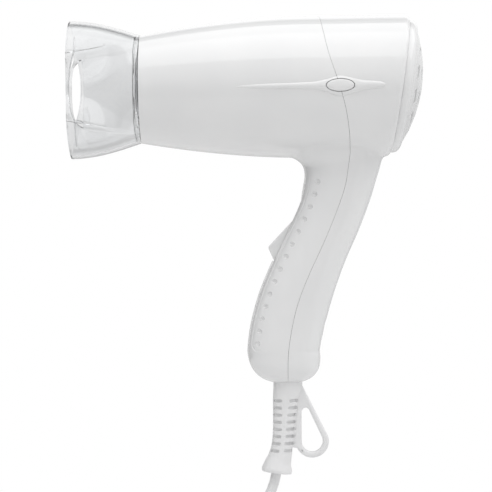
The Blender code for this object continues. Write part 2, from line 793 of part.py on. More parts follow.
def heater_coil(name, start_x, end_x, wire):
    """Resistance wire wound round the edges of the crossed boards."""
    turns, steps = 4, 12
    points = []
    for step in range(turns * steps + 1):
        angle = 2 * math.pi * step / steps
        x = start_x + (end_x - start_x) * step / (turns * steps)
        y = COIL_WIRE_RADIUS * math.cos(angle)
        z = BARREL_AXIS_Z + COIL_WIRE_RADIUS * math.sin(angle)
        points.append((x, y, z))
    tube(name, points, 0.0016, wire, 1)


def build_heater(mica, wire, steel, white):
    sleeve = (
        (HEATER_FRONT_X, MICA_RADIUS - 0.0008),
        (HEATER_FRONT_X, MICA_RADIUS),
        (HEATER_BACK_X, MICA_RADIUS),
        (HEATER_BACK_X, MICA_RADIUS - 0.0008),
    )
    add_object("mica_sleeve", turned_ring(sleeve, 32), mica, ON_BARREL_AXIS)
    heater_board("mica_board_upright", mica, True)
    heater_board("mica_board_cross", mica, False)
    heater_coil("heater_coil_front", -0.0740, -0.0490, wire)
    heater_coil("heater_coil_rear", -0.0440, -0.0190, wire)
    add_object(
        "thermostat",
        box((-0.0300, BOARD_THICKNESS / 2 + GAP, 0.0030), (-0.0180, 0.0066, 0.0110)),
        steel,
        ON_BARREL_AXIS,
    )
    fuse = turned_body(((-0.0320, 0.0008), (-0.0320, 0.0019), (-0.0200, 0.0019), (-0.0200, 0.0008)), 12)
    add_object("thermal_fuse", fuse, white, (0, -0.0030, BARREL_AXIS_Z - 0.0080))


def build_motor_mount(grey):
    """A duct ring and a hub ring that hold the motor, joined by straightening vanes."""
    outer = ((0.0050, 0.0338), (0.0050, 0.0352), (0.0230, 0.0352), (0.0230, 0.0338))
    mount = add_object("motor_mount", turned_ring(outer, 36), grey, ON_BARREL_AXIS)
    hub = (
        (0.0050, MOTOR_RADIUS + GAP),
        (0.0050, MOTOR_RADIUS + 0.0018),
        (0.0230, MOTOR_RADIUS + 0.0018),
        (0.0230, MOTOR_RADIUS + GAP),
    )
    join(mount, add_object("motor_hub", turned_ring(hub, 28), grey, ON_BARREL_AXIS))
    for index in range(VANE_COUNT):
        vane = box((0.0070, 0.0150, -0.0006), (0.0210, 0.0345, 0.0006))
        turn = Matrix.Rotation(math.radians(30 + 360 * index / VANE_COUNT), 4, "X")
        join(mount, add_object(f"vane_{index}", vane, grey, ON_BARREL_AXIS, turn))
    for label, side in SIDES:
        start = (CAP_X, side * 0.0290, RIDGE_Z)
        join(mount, bore(f"mount_boss_{label}", start, (0, side, 0), 0.0056, 0.0034, grey))
        hole = (CAP_X, side * 0.0380, RIDGE_Z)
        cut(mount, bore(f"mount_hole_{label}", hole, (0, -side, 0), 0.0080, 0.0017, grey))


def build_motor(steel, black, green):
    case = turned_body(
        (
            (MOTOR_FRONT_X, MOTOR_RADIUS - 0.0010),
            (MOTOR_FRONT_X + 0.0010, MOTOR_RADIUS),
            (MOTOR_BACK_X - 0.0008, MOTOR_RADIUS),
            (MOTOR_BACK_X, MOTOR_RADIUS - 0.0008),
            (MOTOR_BACK_X, 0.0035),
            (MOTOR_BACK_X + 0.0016, 0.0035),
        ),
        24,
    )
    motor = add_object("motor_case", case, steel, ON_BARREL_AXIS)
    bored = turned_body(((0.0080, 0.0014), (0.0300, 0.0014)), 12)
    cut(motor, add_object("motor_bore", bored, steel, ON_BARREL_AXIS))
    cap_end = MOTOR_FRONT_X - GAP
    cap = turned_body(
        ((cap_end - 0.0030, 0.0050), (cap_end - 0.0020, 0.0125), (cap_end, 0.0132)),
        24,
    )
    add_object("motor_end_cap", cap, black, ON_BARREL_AXIS)
    board = turned_body(((-0.0095, 0.0115), (-0.0080, 0.0115)), 20)
    add_object("rectifier_board", board, green, ON_BARREL_AXIS)


def build_fan(black, steel):
    shaft = turned_body(((0.0090, 0.0010), (0.0400, 0.0010)), 12)
    bmesh.ops.translate(shaft, vec=(-FAN_FRONT_X, 0, 0), verts=shaft.verts)
    spin_point = (FAN_FRONT_X, 0, BARREL_AXIS_Z)
    add_object("motor_shaft", shaft, steel, spin_point)
    length = FAN_BACK_X - FAN_FRONT_X
    hub = turned_body(((0, 0.0080), (length * 0.7, 0.0080), (length, 0.0050)), 24)
    fan = add_object("fan", hub, black, spin_point)
    blades = bmesh.new()
    for index in range(BLADE_COUNT):
        rings = []
        for radius, pitch in ((0.0060, 42), (0.0170, 30), (FAN_RADIUS, 22)):
            chord = Vector((math.sin(math.radians(pitch)), math.cos(math.radians(pitch)), 0)) * 0.0055
            thick = Vector((chord.y, -chord.x, 0)).normalized() * 0.0005
            middle = Vector((length * 0.5, 0, radius))
            near, far = middle - chord, middle + chord
            rings.append((near - thick, far - thick, far + thick, near + thick))
        made = loft(rings)
        turn = Matrix.Rotation(2 * math.pi * index / BLADE_COUNT, 4, "X")
        bmesh.ops.transform(made, matrix=turn, verts=made.verts)
        bmesh.ops.recalc_face_normals(made, faces=made.faces)
        gather(blades, made)
    join(fan, add_object("fan_blades", blades, black, spin_point))
    bored = turned_body(((-0.0050, 0.0013), (0.0200, 0.0013)), 12)
    cut(fan, add_object("fan_bore", bored, black, spin_point))


def build_switch(white, black, grey):
    """The wedge-shaped knob, the carriage it drives and the switch behind it."""
    outline = (
        (KNOB_HIGH, -0.0011),
        (KNOB_HIGH, -0.0004),
        (-0.0050, 0.0047),
        (-0.0062, 0.0050),
        (-0.0070, 0.0044),
        (KNOB_LOW, -0.0005),
        (KNOB_LOW, -0.0011),
    )
    knob = add_object("switch_knob", prism(outline, KNOB_HALF_WIDTH), white, SWITCH_ORIGIN, SWITCH_TURN)
    neck = box((-NECK_HALF_LENGTH, -NECK_HALF_WIDTH, -0.0062), (NECK_HALF_LENGTH, NECK_HALF_WIDTH, -0.0008))
    join(knob, add_object("knob_neck", neck, white, SWITCH_ORIGIN, SWITCH_TURN))
    slider = box((-0.0050, -0.0048, -0.0086), (0.0050, 0.0048, -0.0065))
    add_object("switch_slider", slider, black, SWITCH_ORIGIN, SWITCH_TURN)
    body = box((-0.0080, -0.0060, -0.0170), (0.0160, 0.0060, -0.0089))
    add_object("switch_body", body, grey, SWITCH_ORIGIN, SWITCH_TURN)


def build_leads(black, grey):
    """The pair that brings the mains to the switch, and the one that goes on to the heater."""
    supply = smooth_curve(
        (
            (-0.0144, 0.0, -0.0610),
            (-0.0142, 0.0045, -0.0510),
            (-0.0115, 0.0078, -0.0400),
            (-0.0095, 0.0068, -0.0260),
            (-0.0085, 0.0062, -0.0120),
        ),
        3,
    )
    tube("supply_leads", supply, 0.0036, grey, 1)
    heater = smooth_curve(
        (
            (0.0080, 0.0, 0.0180),
            (0.0082, 0.0, 0.0330),
            (0.0030, 0.0, 0.0460),
            (-0.0025, 0.0, 0.0560),
            (-0.0072, 0.0, 0.0630),
            (-0.0100, 0.0, 0.0690),
        ),
        3,
    )
    tube("heater_leads", heater, 0.0030, black, 1)


def relief_rings():
    rings = []
    count = len(RELIEF_STATIONS)
    for index, (x, z, radius) in enumerate(RELIEF_STATIONS):
        above = RELIEF_STATIONS[max(index - 1, 0)]
        below = RELIEF_STATIONS[min(index + 1, count - 1)]
        tangent = Vector((below[0] - above[0], 0, below[1] - above[1])).normalized()
        if index == 0:
            tangent = Vector((0, 0, -1))
        side = Vector((-tangent.z, 0, tangent.x))
        ring = []
        for corner in range(16):
            angle = 2 * math.pi * corner / 16
            out = side * math.cos(angle) + Vector((0, 1, 0)) * math.sin(angle)
            ring.append(Vector((x, 0, z)) + out * radius)
        rings.append(ring)
    return rings


def loop_arc(radius, all_degrees):
    """Points of an arc round the loop's eye."""
    arc = []
    for degrees in all_degrees:
        angle = math.radians(degrees)
        arc.append((LOOP_EYE.x + radius * math.cos(angle), LOOP_EYE.z + radius * math.sin(angle)))
    return arc


def loop_outline():
    """The hanging loop's outside: a long taper down to a round end."""
    outline = [(-0.0150, -0.0735), (-0.0070, -0.0722)]
    outline += loop_arc(LOOP_OUTER_RADIUS, range(15, -156, -17))
    outline += [(-0.0125, -0.1062), (-0.0175, -0.1050)]
    return outline


def loop_hole_outline():
    outline = [(-0.0073, -0.0868), (-0.0062, -0.0853), (-0.0046, -0.0849), (-0.0034, -0.0858)]
    return outline + loop_arc(LOOP_HOLE_RADIUS, range(18, -181, -22))


def relief_slots():
    """Four columns of short slots, sunk half way into the sleeve's wall."""
    slots = bmesh.new()
    top, bottom = -0.0808, -0.1078
    for row in range(RELIEF_SLOT_ROWS):
        z = top + (bottom - top) * row / (RELIEF_SLOT_ROWS - 1)
        x = smooth_value([(station[1], station[0]) for station in RELIEF_STATIONS], z)
        radius = smooth_value([(station[1], station[2]) for station in RELIEF_STATIONS], z)
        for column in range(4):
            made = box((radius - 0.0016, -0.0027, -0.0009), (radius + 0.003, 0.0027, 0.0009))
            turn = Matrix.Rotation(math.radians(45 + 90 * column), 4, "Z")
            bmesh.ops.transform(made, matrix=Matrix.Translation((x, 0, z)) @ turn, verts=made.verts)
            gather(slots, made)
    return slots


def build_strain_relief(rubber):
    relief = add_object("strain_relief", loft(relief_rings()), rubber)
    collar_x = RELIEF_STATIONS[0][0]
    inner_end = turned_body(
        ((-0.0635, 0.0074), (-0.0669, 0.0074), (-0.0669, 0.0054), (-0.0730, 0.0054)),
        20,
    )
    upright = Matrix.Rotation(math.radians(-90), 4, "Y")
    join(relief, add_object("relief_neck", inner_end, rubber, (collar_x, 0, 0), upright))
    join(relief, add_object("relief_loop", prism(loop_outline(), LOOP_THICKNESS / 2), rubber))
    cut(relief, add_object("relief_loop_hole", prism(loop_hole_outline(), 0.01), rubber))
    cut(relief, add_object("relief_slots", relief_slots(), rubber))


def build_cord_clamp(white, steel):
    clamp = box((-0.0060, -0.0100, -0.0020), (-0.0030, 0.0100, 0.0020))
    place = Vector((-0.0144, 0, -0.0560))
    plate = add_object("cord_clamp", clamp, white, place)
    for label, side in SIDES:
        start = place + Vector((-0.0100, side * 0.0072, 0))
        cut(plate, bore(f"clamp_hole_{label}", start, (1, 0, 0), 0.0120, 0.0015, white))
        screw = screw_body(0.0024, 0.0012, 0.0012, 0.0080)
        add_object(f"clamp_screw_{label}", screw, steel, place + Vector((-0.0015, side * 0.0072, 0)))


def build_cord(cord_white, rubber):
    lead = smooth_curve(CORD_ROUTE, 2)
    lead[0] = lead[0] + (lead[0] - lead[1]).normalized() * -GAP
    tube("power_cord", lead, CORD_DIAMETER, cord_white, 3)
    half, corner = COIL_HALF_SECTION, 0.0024
    section = (
        (half, half - corner),
        (half - corner, half),
        (corner - half, half),
        (-half, half - corner),
        (-half, corner - half),
        (corner - half, -half),
        (half - corner, -half),
        (half, corner - half),
    )
    profile = [(along, COIL_MIDDLE_RADIUS + out) for along, out in section]
    add_object("cord_coil", turned_ring(profile, 32), cord_white, COIL_CENTRE, ALONG_Y)
    build_cord_tie(rubber)
    tail_start = Vector((TAIL_EXIT.x, TAIL_EXIT.y, TAIL_START_Z))
    tail_end = Vector((TAIL_EXIT.x, TAIL_EXIT.y, PLUG_TOP_Z + GAP))
    tail = [tail_start.lerp(tail_end, step / 3) for step in range(4)]
    tube("cord_tail", tail, CORD_DIAMETER, cord_white, 3)


def build_cord_tie(rubber):
    """A band round the coil's turns, square with rounded corners."""
    sides, squareness = 20, 4.5
    inner = COIL_HALF_SECTION + 0.0010
    outer = inner + 0.0010
    outwards = Vector((math.cos(TIE_ANGLE), 0, math.sin(TIE_ANGLE)))
    along = Vector((-outwards.z, 0, outwards.x))
    across = Vector((0, 1, 0))
    middle = COIL_CENTRE + outwards * COIL_MIDDLE_RADIUS
    sections = []
    half_width = along * 0.0025
    for corner in range(sides):
        angle = 2 * math.pi * (corner + 0.5) / sides
        spread = abs(math.cos(angle)) ** squareness + abs(math.sin(angle)) ** squareness
        ray = (outwards * math.cos(angle) + across * math.sin(angle)) * spread ** (-1 / squareness)
        near, far = middle + ray * inner, middle + ray * outer
        sections.append((near - half_width, far - half_width, far + half_width, near + half_width))
    add_object("cord_tie", closed_sweep(sections), rubber)


def build_plug(cord_white, brass):
    """A moulded two-blade plug hanging from the cord's end."""
    sleeve_end = PLUG_TOP_Z - PLUG_SLEEVE_LENGTH
    face = sleeve_end - PLUG_BODY_LENGTH
    stations = (
        (PLUG_TOP_Z, 0.0036, 0.0036, 2.0),
        (sleeve_end + 0.0010, 0.0045, 0.0045, 2.0),
        (sleeve_end - 0.0020, 0.0090, 0.0068, 3.0),
        (sleeve_end - 0.0090, 0.0112, 0.0082, 3.5),
        (sleeve_end - 0.0160, 0.0104, 0.0076, 3.5),
        (face + 0.0030, 0.0124, 0.0088, 3.5),
        (face, 0.0118, 0.0082, 3.5),
    )
    rings = []
    for z, half_length, half_breadth, squareness in stations:
        power = 2 / squareness
        ring = []
        for corner in range(20):
            angle = 2 * math.pi * corner / 20
            across, along = math.cos(angle), math.sin(angle)
            x = half_length * math.copysign(abs(across) ** power, across)
            y = half_breadth * math.copysign(abs(along) ** power, along)
            ring.append((TAIL_EXIT.x + x, TAIL_EXIT.y + y, z))
        rings.append(ring)
    add_object("plug_body", loft(rings), cord_white)
    for label, side in SIDES:
        middle_x = TAIL_EXIT.x + side * BLADE_SPACING / 2
        low = (middle_x - BLADE_THICKNESS / 2, TAIL_EXIT.y - BLADE_WIDTH / 2, face - GAP - BLADE_LENGTH)
        high = (middle_x + BLADE_THICKNESS / 2, TAIL_EXIT.y + BLADE_WIDTH / 2, face - GAP)
        add_object(f"plug_blade_{label}", box(low, high), brass)


def main():
    clear_scene()
    white = plastic("white_gloss", WHITE, 0.18)
    clear = plastic("clear_plastic", CLEAR, 0.05, alpha=0.3)
    cord_white = plastic("cord_white", CORD_GREY, 0.40)
    rubber = plastic("soft_white", CORD_GREY, 0.45)
    mica = plastic("mica", MICA, 0.60)
    steel = plastic("steel", STEEL, 0.30, 1.0)
    brass = plastic("brass", BRASS, 0.30, 1.0)
    wire = plastic("nichrome", NICHROME, 0.40, 1.0)
    black = plastic("black_plastic", BLACK, 0.45)
    green = plastic("circuit_board", BOARD_GREEN, 0.50)
    grey = plastic("heat_plastic", FIRED_GREY, 0.50)
    build_front_housing(white)
    build_rear_housing(white)
    build_housing_screws(steel, white)
    build_rear_ring(white)
    build_inlet_grille(white)
    build_dust_filter(grey)
    build_nozzle(clear)
    build_nozzle_ring(steel)
    build_outlet_grille(grey)
    build_heater(mica, wire, steel, white)
    build_motor_mount(grey)
    build_motor(steel, black, green)
    build_fan(black, steel)
    build_switch(white, black, grey)
    build_leads(black, grey)
    build_strain_relief(rubber)
    build_cord_clamp(white, steel)
    build_cord(cord_white, rubber)
    build_plug(cord_white, brass)


main()
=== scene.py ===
"""A glossy white hair dryer with a clear pinched nozzle, dressed for rendering.

Metres, +Z up. The barrel lies along X with its nozzle towards -X, and the origin is the middle
of the grip. The shells, nozzle, cord and trim are rebuilt here in fine meshes on the same
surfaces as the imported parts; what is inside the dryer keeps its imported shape.
"""

import math

import bmesh
import bpy
import numpy as np
from mathutils import Matrix, Vector


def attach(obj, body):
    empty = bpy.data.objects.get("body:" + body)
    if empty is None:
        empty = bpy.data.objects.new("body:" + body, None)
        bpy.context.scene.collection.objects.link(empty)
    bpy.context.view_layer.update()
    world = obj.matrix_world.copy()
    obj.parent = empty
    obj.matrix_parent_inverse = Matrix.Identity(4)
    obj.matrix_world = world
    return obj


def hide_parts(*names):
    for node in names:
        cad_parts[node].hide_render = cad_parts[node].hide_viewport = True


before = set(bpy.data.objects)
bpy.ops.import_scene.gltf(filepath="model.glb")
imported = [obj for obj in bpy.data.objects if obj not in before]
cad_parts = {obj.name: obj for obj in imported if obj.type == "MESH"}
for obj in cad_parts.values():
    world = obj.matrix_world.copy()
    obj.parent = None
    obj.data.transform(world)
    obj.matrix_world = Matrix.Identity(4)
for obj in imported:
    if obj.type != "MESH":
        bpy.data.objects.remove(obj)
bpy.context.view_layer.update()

GAP = 0.0003
SEAM = 0.00016
WALL = 0.0024
SIDES = (("left", -1), ("right", 1))

# The barrel.
BARREL_AXIS_Z = 0.088
BARREL_RADIUS = 0.038
NOSE_RADIUS = 0.0292
NOSE_X = -0.0915
SHOULDER_X = -0.006
TAPER_POWER = 1.75
TAIL_X = 0.0477
TAIL_TILT = math.radians(8.6)
LIP_LENGTH = 0.0022
LIP_DROP = 0.0018

# The handle: z, front edge x, back edge x and half its breadth in y, from the top down.
HANDLE_STATIONS = (
    (0.0600, -0.0150, 0.0420, 0.0195),
    (0.0540, -0.0145, 0.0410, 0.0193),
    (0.0500, -0.0098, 0.0388, 0.0180),
    (0.0469, -0.0058, 0.0376, 0.0172),
    (0.0433, -0.0041, 0.0366, 0.0168),
    (0.0377, -0.0042, 0.0348, 0.0163),
    (0.0269, -0.0068, 0.0314, 0.0158),
    (0.0108, -0.0142, 0.0251, 0.0155),
    (-0.0054, -0.0220, 0.0178, 0.0155),
    (-0.0215, -0.0290, 0.0117, 0.0157),
    (-0.0376, -0.0338, 0.0068, 0.0159),
    (-0.0483, -0.0356, 0.0041, 0.0160),
    (-0.0540, -0.0361, 0.0030, 0.0160),
)
HANDLE_END_Z = -0.0716
HANDLE_END_SHIFT = 0.0020
HANDLE_END_POWER = 2.6
HANDLE_TOP_Z = 0.0600
HANDLE_TOP_CLOSING = 0.0200
HANDLE_SQUARENESS = 2.2
HANDLE_STEP = 0.003
FILLET = 0.0014

# The rough mesh that is drawn onto the housings' surface: its voxels, and what its parts overlap.
VOXEL = 0.0016
NOSE_OVERRUN = 0.006
TAIL_OVERRUN = 0.012
HANDLE_ROOT_Z = 0.072
LONGEST_MOVE = 0.0015
ON_SURFACE = 6e-5

# The line along which front and rear housings part, as z and x.
PARTING_LINE = (
    (0.1300, 0.0040),
    (0.1046, 0.0083),
    (0.0888, 0.0131),
    (0.0727, 0.0175),
    (0.0541, 0.0200),
    (0.0440, 0.0190),
    (0.0323, 0.0168),
    (0.0083, 0.0075),
    (-0.0158, -0.0038),
    (-0.0312, -0.0096),
    (-0.0492, -0.0135),
    (-0.0610, -0.0145),
    (-0.0800, -0.0142),
)

# The ridge on each side, as x, half height and how far it stands proud; its oval cap; and the row of
# dimples down the handle, with the groove before them.
RIDGE_Z = 0.0859
RIDGE_STATIONS = (
    (-0.0600, 0.0004, -0.0010),
    (-0.0300, 0.0016, 0.0004),
    (0.0000, 0.0025, 0.0007),
    (0.0060, 0.0036, 0.0009),
    (0.0144, 0.0058, 0.0010),
    (0.0222, 0.0041, 0.0009),
    (0.0270, 0.0030, 0.0008),
    (0.0330, 0.0025, 0.0007),
    (0.0362, 0.0020, 0.0005),
    (0.0378, 0.0014, 0.0001),
    (0.0388, 0.0003, -0.0008),
)
RIDGE_DEPTH = 0.0012
CAP_X = 0.0144
CAP_HALF_LENGTH = 0.0073
CAP_HALF_HEIGHT = 0.0032
CAP_FLOOR_Y = 0.0368
CAP_TOP_Y = 0.0390
CAP_GROOVE = 0.0003
CAP_EDGE = 0.0007
POCKET_TOP_Y = 0.0430
DIMPLE_COUNT = 14
DIMPLE_TOP_Z = 0.0365
DIMPLE_BOTTOM_Z = -0.0496
DIMPLE_TOP_INSET = 0.0070
DIMPLE_BOTTOM_INSET = 0.0052
DIMPLE_SIZE = 0.0021
DIMPLE_SHAPE = Vector((0.96, 0.76, 0.98))
DIMPLE_LIFT = 0.42
FRONT_DIMPLE_Y = 0.0045
FRONT_DIMPLE_SIZE = 0.0016
FRONT_DIMPLE_PITCH = 0.0064
FRONT_DIMPLE_HEIGHTS = (0.0349, 0.0288, *(-0.0110 - FRONT_DIMPLE_PITCH * step for step in range(7)))
GROOVE_TOP_Z = 0.0450
GROOVE_TOP_INSET = 0.0030
GROOVE_BOTTOM_INSET = 0.0021
GROOVE_RADIUS = 0.0009
GROOVE_DEPTH = 0.00035
GROOVE_CURL = 1.2
GROOVE_RUN_OUT = 8

# The nozzle.
NOZZLE_BACK_X = NOSE_X - GAP
NOZZLE_MOUTH_X = -0.1293
NOZZLE_ARC = 0.0022
NOZZLE_WALL = 0.0016
NOZZLE_BACK_RADIUS = 0.0292
NOZZLE_MOUTH_HALF_HEIGHT = 0.0371
NOZZLE_MOUTH_HALF_DEPTH = 0.0310
NOZZLE_SCOOP = 0.0220
CREASE_BACK = 0.0245
CREASE_MOUTH = 0.0180
NOZZLE_SLEEVE_RADIUS = 0.0252
NOZZLE_BORE_RADIUS = 0.0238
NOZZLE_SLEEVE_END_X = -0.0840
NOZZLE_RIM_BOW = 0.0006
CREASE_SOFTNESS = 0.06
NOZZLE_BEAD = 0.00034
BEAD_SET_BACK = 0.0003
BEAD_SINK = 0.0002
BEAD_LOW = -0.0310
BEAD_HIGH = 0.0265
NOZZLE_SEAT_X = -0.0942
NOZZLE_SEAT_RADIUS = 0.0277
WINDOW_FRONT_X = -0.1296
WINDOW_BACK_BOW = 0.0018
WINDOW_CORNER_X = -0.1250
WINDOW_HALF_HEIGHT = 0.0185
WINDOW_SLIT = 0.0002

# The slide switch.
SWITCH_ORIGIN = Vector((-0.0167, 0.0, 0.0053))
SLIDE_DIRECTION = Vector((0.446, 0.0, 0.895)).normalized()
KNOB_LOW = -0.0111
KNOB_HIGH = 0.0117
KNOB_HALF_WIDTH = 0.0055
NECK_HALF_LENGTH = 0.0025
NECK_HALF_WIDTH = 0.0019
SLIDE_TRAVEL = 0.0080
TRACK_FLOOR = -0.0015
TRACK_TOP = 0.0060
TRACK_RAMP = 0.0200
TRACK_MARGIN = 0.0007
SLOT_MARGIN = 0.0004

# The handle screw's counterbore in the rear shell.
HANDLE_SCREW_Z = -0.0400
HANDLE_SCREW_X = 0.0022
COUNTERBORE_RADIUS = 0.0033

# The domed inlet grille, and its rings of slots as radius, count and half length.
DOME_APEX = 0.0123
DOME_RADIUS = 0.0720
DOME_WALL = 0.0016
DOME_RIM_RADIUS = 0.0310
DOME_HOLE_RADIUS = 0.0030
DOME_SLOT_HALF_WIDTH = 0.0014
SLOT_RINGS = (
    (0.0245, 12, 0.0042),
    (0.0165, 8, 0.0038),
    (0.0092, 5, 0.0028),
)

# The strain relief's centre line from the handle down, as x, z and radius.
RELIEF_STATIONS = (
    (-0.0144, -0.0719, 0.0078),
    (-0.0148, -0.0745, 0.0076),
    (-0.0157, -0.0791, 0.0069),
    (-0.0165, -0.0883, 0.0062),
    (-0.0172, -0.0980, 0.0057),
    (-0.0182, -0.1067, 0.0058),
    (-0.0194, -0.1120, 0.0065),
    (-0.0203, -0.1150, 0.0073),
    (-0.0209, -0.1180, 0.0082),
    (-0.0211, -0.1190, 0.0082),
    (-0.0213, -0.1197, 0.0077),
)
RELIEF_SLOT_ROWS = 8
RELIEF_SLOTS_TOP = -0.0808
RELIEF_SLOTS_BOTTOM = -0.1078
RELIEF_SLOT_HALF_LENGTH = 0.0033
RELIEF_SLOT_HALF_WIDTH = 0.0009
RELIEF_SLOT_DEPTH = 0.0016
LOOP_EYE = Vector((-0.0017, 0.0, -0.1030))
LOOP_OUTER_RADIUS = 0.0090
LOOP_HOLE_RADIUS = 0.0057
LOOP_THICKNESS = 0.0046

# The mains cord: its lead out of the strain relief, its coil and its plug.
CORD_DIAMETER = 0.0054
CORD_LEAD = (
    (-0.0213, 0.0, -0.1197),
    (-0.0222, -0.0002, -0.1240),
    (-0.0234, -0.0007, -0.1275),
    (-0.0249, -0.0015, -0.1309),
    (-0.0268, -0.0025, -0.1341),
    (-0.0290, -0.0035, -0.1370),
    (-0.0324, -0.0046, -0.1409),
    (-0.0364, -0.0053, -0.1441),
)
COIL_CENTRE = Vector((-0.0256, 0.0, -0.1798))
COIL_MIDDLE_RADIUS = 0.0310
COIL_PITCH = 0.0055
COIL_START_DEGREES = 115
COIL_TOTAL_DEGREES = 2945
COIL_LANES = ((1, -1), (0, -1), (-1, -1), (-1, 0), (-1, 1), (0, 1), (0, 0), (1, 0), (1, 1))
COIL_FIRST_CHANGE_DEGREES = 290
COIL_CHANGE_EVERY_DEGREES = 325
COIL_CHANGE_DEGREES = 90
TIE_ANGLE = math.radians(140)
TIE_REACH = 0.00915
TIE_HALF_THICKNESS = 0.00045
TIE_HALF_WIDTH = 0.0025
TIE_SQUARENESS = 4.5
PLUG_TOP_Z = -0.2250
PLUG_SLEEVE_LENGTH = 0.0160
PLUG_BODY_LENGTH = 0.0270

# The studio's brightness, by how far a direction points behind (+y), right (+x) and up (+z).
BACKDROP_LEVELS = ((-1.0, 0.74), (0.02, 0.72), (0.12, 0.10), (0.70, 0.08), (0.82, 0.90), (1.0, 1.0))
RIGHT_LEVELS = ((-1.0, 0.0), (0.20, 0.0), (0.70, 0.95), (1.0, 1.0))
HEIGHT_LEVELS = ((-1.0, 0.58), (-0.05, 0.62), (0.25, 1.06), (0.60, 1.10), (1.0, 1.10))
LEAST_THROUGH_PLASTIC = 0.20
FLOOR_Z = -0.300
FLOOR_RADIUS = 1.1

# The camera's place, roll and lens.
CAMERA_PLACE = (-0.0360, -1.0800, 0.0027)
CAMERA_ROLL = math.radians(-0.8)
CAMERA_LENS = 146.3

ACROSS = Vector((0, 1, 0))
UPWARD = Vector((0, 0, 1))
ON_BARREL_AXIS = Vector((0, 0, BARREL_AXIS_Z))
ON_BARREL_TAIL = Vector((TAIL_X, 0, BARREL_AXIS_Z))
TAIL_PLACE = Matrix.Translation(ON_BARREL_TAIL) @ Matrix.Rotation(TAIL_TILT, 4, "Y")


# ---------------------------------------------------------------- meshes


def link_object(name, data):
    """A new object in the scene that shows this mesh, curve, light or camera."""
    obj = bpy.data.objects.new(name, data)
    bpy.context.scene.collection.objects.link(obj)
    return obj


def make_object(name, points, faces):
    """A mesh object from points and faces."""
    mesh = bpy.data.meshes.new(name)
    mesh.from_pydata([tuple(point) for point in points], [], [tuple(face) for face in faces])
    mesh.update()
    return link_object(name, mesh)


def take_out(bm, name):
    """A mesh object from bmesh data, which it frees."""
    mesh = bpy.data.meshes.new(name)
    bm.to_mesh(mesh)
    bm.free()
    return link_object(name, mesh)


def bake(obj):
    """Applies an object's modifiers and its place to its mesh."""
    graph = bpy.context.evaluated_depsgraph_get()
    mesh = bpy.data.meshes.new_from_object(obj.evaluated_get(graph))
    mesh.transform(obj.matrix_world)
    obj.modifiers.clear()
    obj.matrix_world = Matrix.Identity(4)
    obj.data = mesh
    return obj


def smooth(obj, degrees=35):
    obj.data.shade_smooth()
    obj.data.set_sharp_from_angle(angle=math.radians(degrees))
    return obj


def round_edges(obj, width, segments=2, degrees=40):
    """Rounds every edge sharper than this angle."""
    bevel = obj.modifiers.new("round_edges", "BEVEL")
    bevel.width = width
    bevel.segments = segments
    bevel.limit_method = "ANGLE"
    bevel.angle_limit = math.radians(degrees)
    bevel.harden_normals = False
    return bake(obj)


def combine(obj, tools, operation="DIFFERENCE"):
    """Cuts tools from an object, or joins them to it, and removes the tools."""
    for tool in tools:
        modifier = obj.modifiers.new("combine", "BOOLEAN")
        modifier.operation = operation
        modifier.solver = "EXACT"
        modifier.object = tool
    bpy.context.view_layer.update()
    bake(obj)
    for tool in tools:
        bpy.data.objects.remove(tool)
    return obj


def merge(name, objects):
    """Several objects' meshes as one object."""
    whole = bmesh.new()
    for obj in objects:
        whole.from_mesh(obj.data)
        bpy.data.objects.remove(obj)
    return take_out(whole, name)


def face_outwards(obj):
    """Turns every face of a closed mesh to look outwards."""
    bm = bmesh.new()
    bm.from_mesh(obj.data)
    bmesh.ops.recalc_face_normals(bm, faces=bm.faces)
    bm.to_mesh(obj.data)
    bm.free()
    return obj


def loft(name, rings):
    """A closed body through rings of points, with flat ends."""
    count = len(rings[0])
    points = [point for ring in rings for point in ring]
    faces = []
    for layer in range(len(rings) - 1):
        for i in range(count):
            j = (i + 1) % count
            start = layer * count
            faces.append((start + i, start + j, start + count + j, start + count + i))
    faces.append(tuple(range(count)))
    last = (len(rings) - 1) * count
    faces.append(tuple(range(last + count - 1, last - 1, -1)))
    return face_outwards(make_object(name, points, faces))


def closed_sweep(name, sections):
    """A ring-shaped body through sections that run round and meet the first again."""
    count = len(sections[0])
    points = [point for section in sections for point in section]
    total = len(points)
    faces = []
    for layer in range(len(sections)):
        start = layer * count
        for i in range(count):
            j = (i + 1) % count
            faces.append((start + i, start + j, (start + count + j) % total, (start + count + i) % total))
    return face_outwards(make_object(name, points, faces))


def circle(centre, across, upward, radius, count):
    """Points round a circle or an ellipse, from its centre and two directions at right angles."""
    turns = [2 * math.pi * turn / count for turn in range(count)]
    return [centre + (across * math.cos(a) + upward * math.sin(a)) * radius for a in turns]


def box(name, place, ends):
    """A box or wedge between two rectangles, each given as height, low end, high end and half width."""
    rings = []
    for z, low, high, half_width in ends:
        corners = ((low, -half_width), (high, -half_width), (high, half_width), (low, half_width))
        rings.append([place @ Vector((x, y, z)) for x, y in corners])
    return loft(name, rings)


def turned(name, profile, sides, place):
    """A ring turned about +X from a closed profile of (along, radius), put in place."""
    sections = []
    for side in range(sides):
        angle = 2 * math.pi * side / sides
        out = Vector((0, math.cos(angle), math.sin(angle)))
        sections.append([place @ (Vector((along, 0, 0)) + out * radius) for along, radius in profile])
    return closed_sweep(name, sections)


def prism(name, outline, half_width, place=None):
    """An outline of (x, z) points stretched from -half_width to +half_width in y."""
    rings = [[Vector((x, y, z)) for x, z in outline] for y in (-half_width, half_width)]
    if place is not None:
        rings = [[place @ point for point in ring] for ring in rings]
    return loft(name, rings)


def slot_outline(half_length, half_width, steps=6):
    """A slot with round ends, as points in a plane."""
    outline = []
    straight = half_length - half_width
    for end, first in ((1, -90), (-1, 90)):
        for step in range(steps + 1):
            angle = math.radians(first + 180 * step / steps)
            outline.append((end * straight + half_width * math.cos(angle), half_width * math.sin(angle)))
    return outline


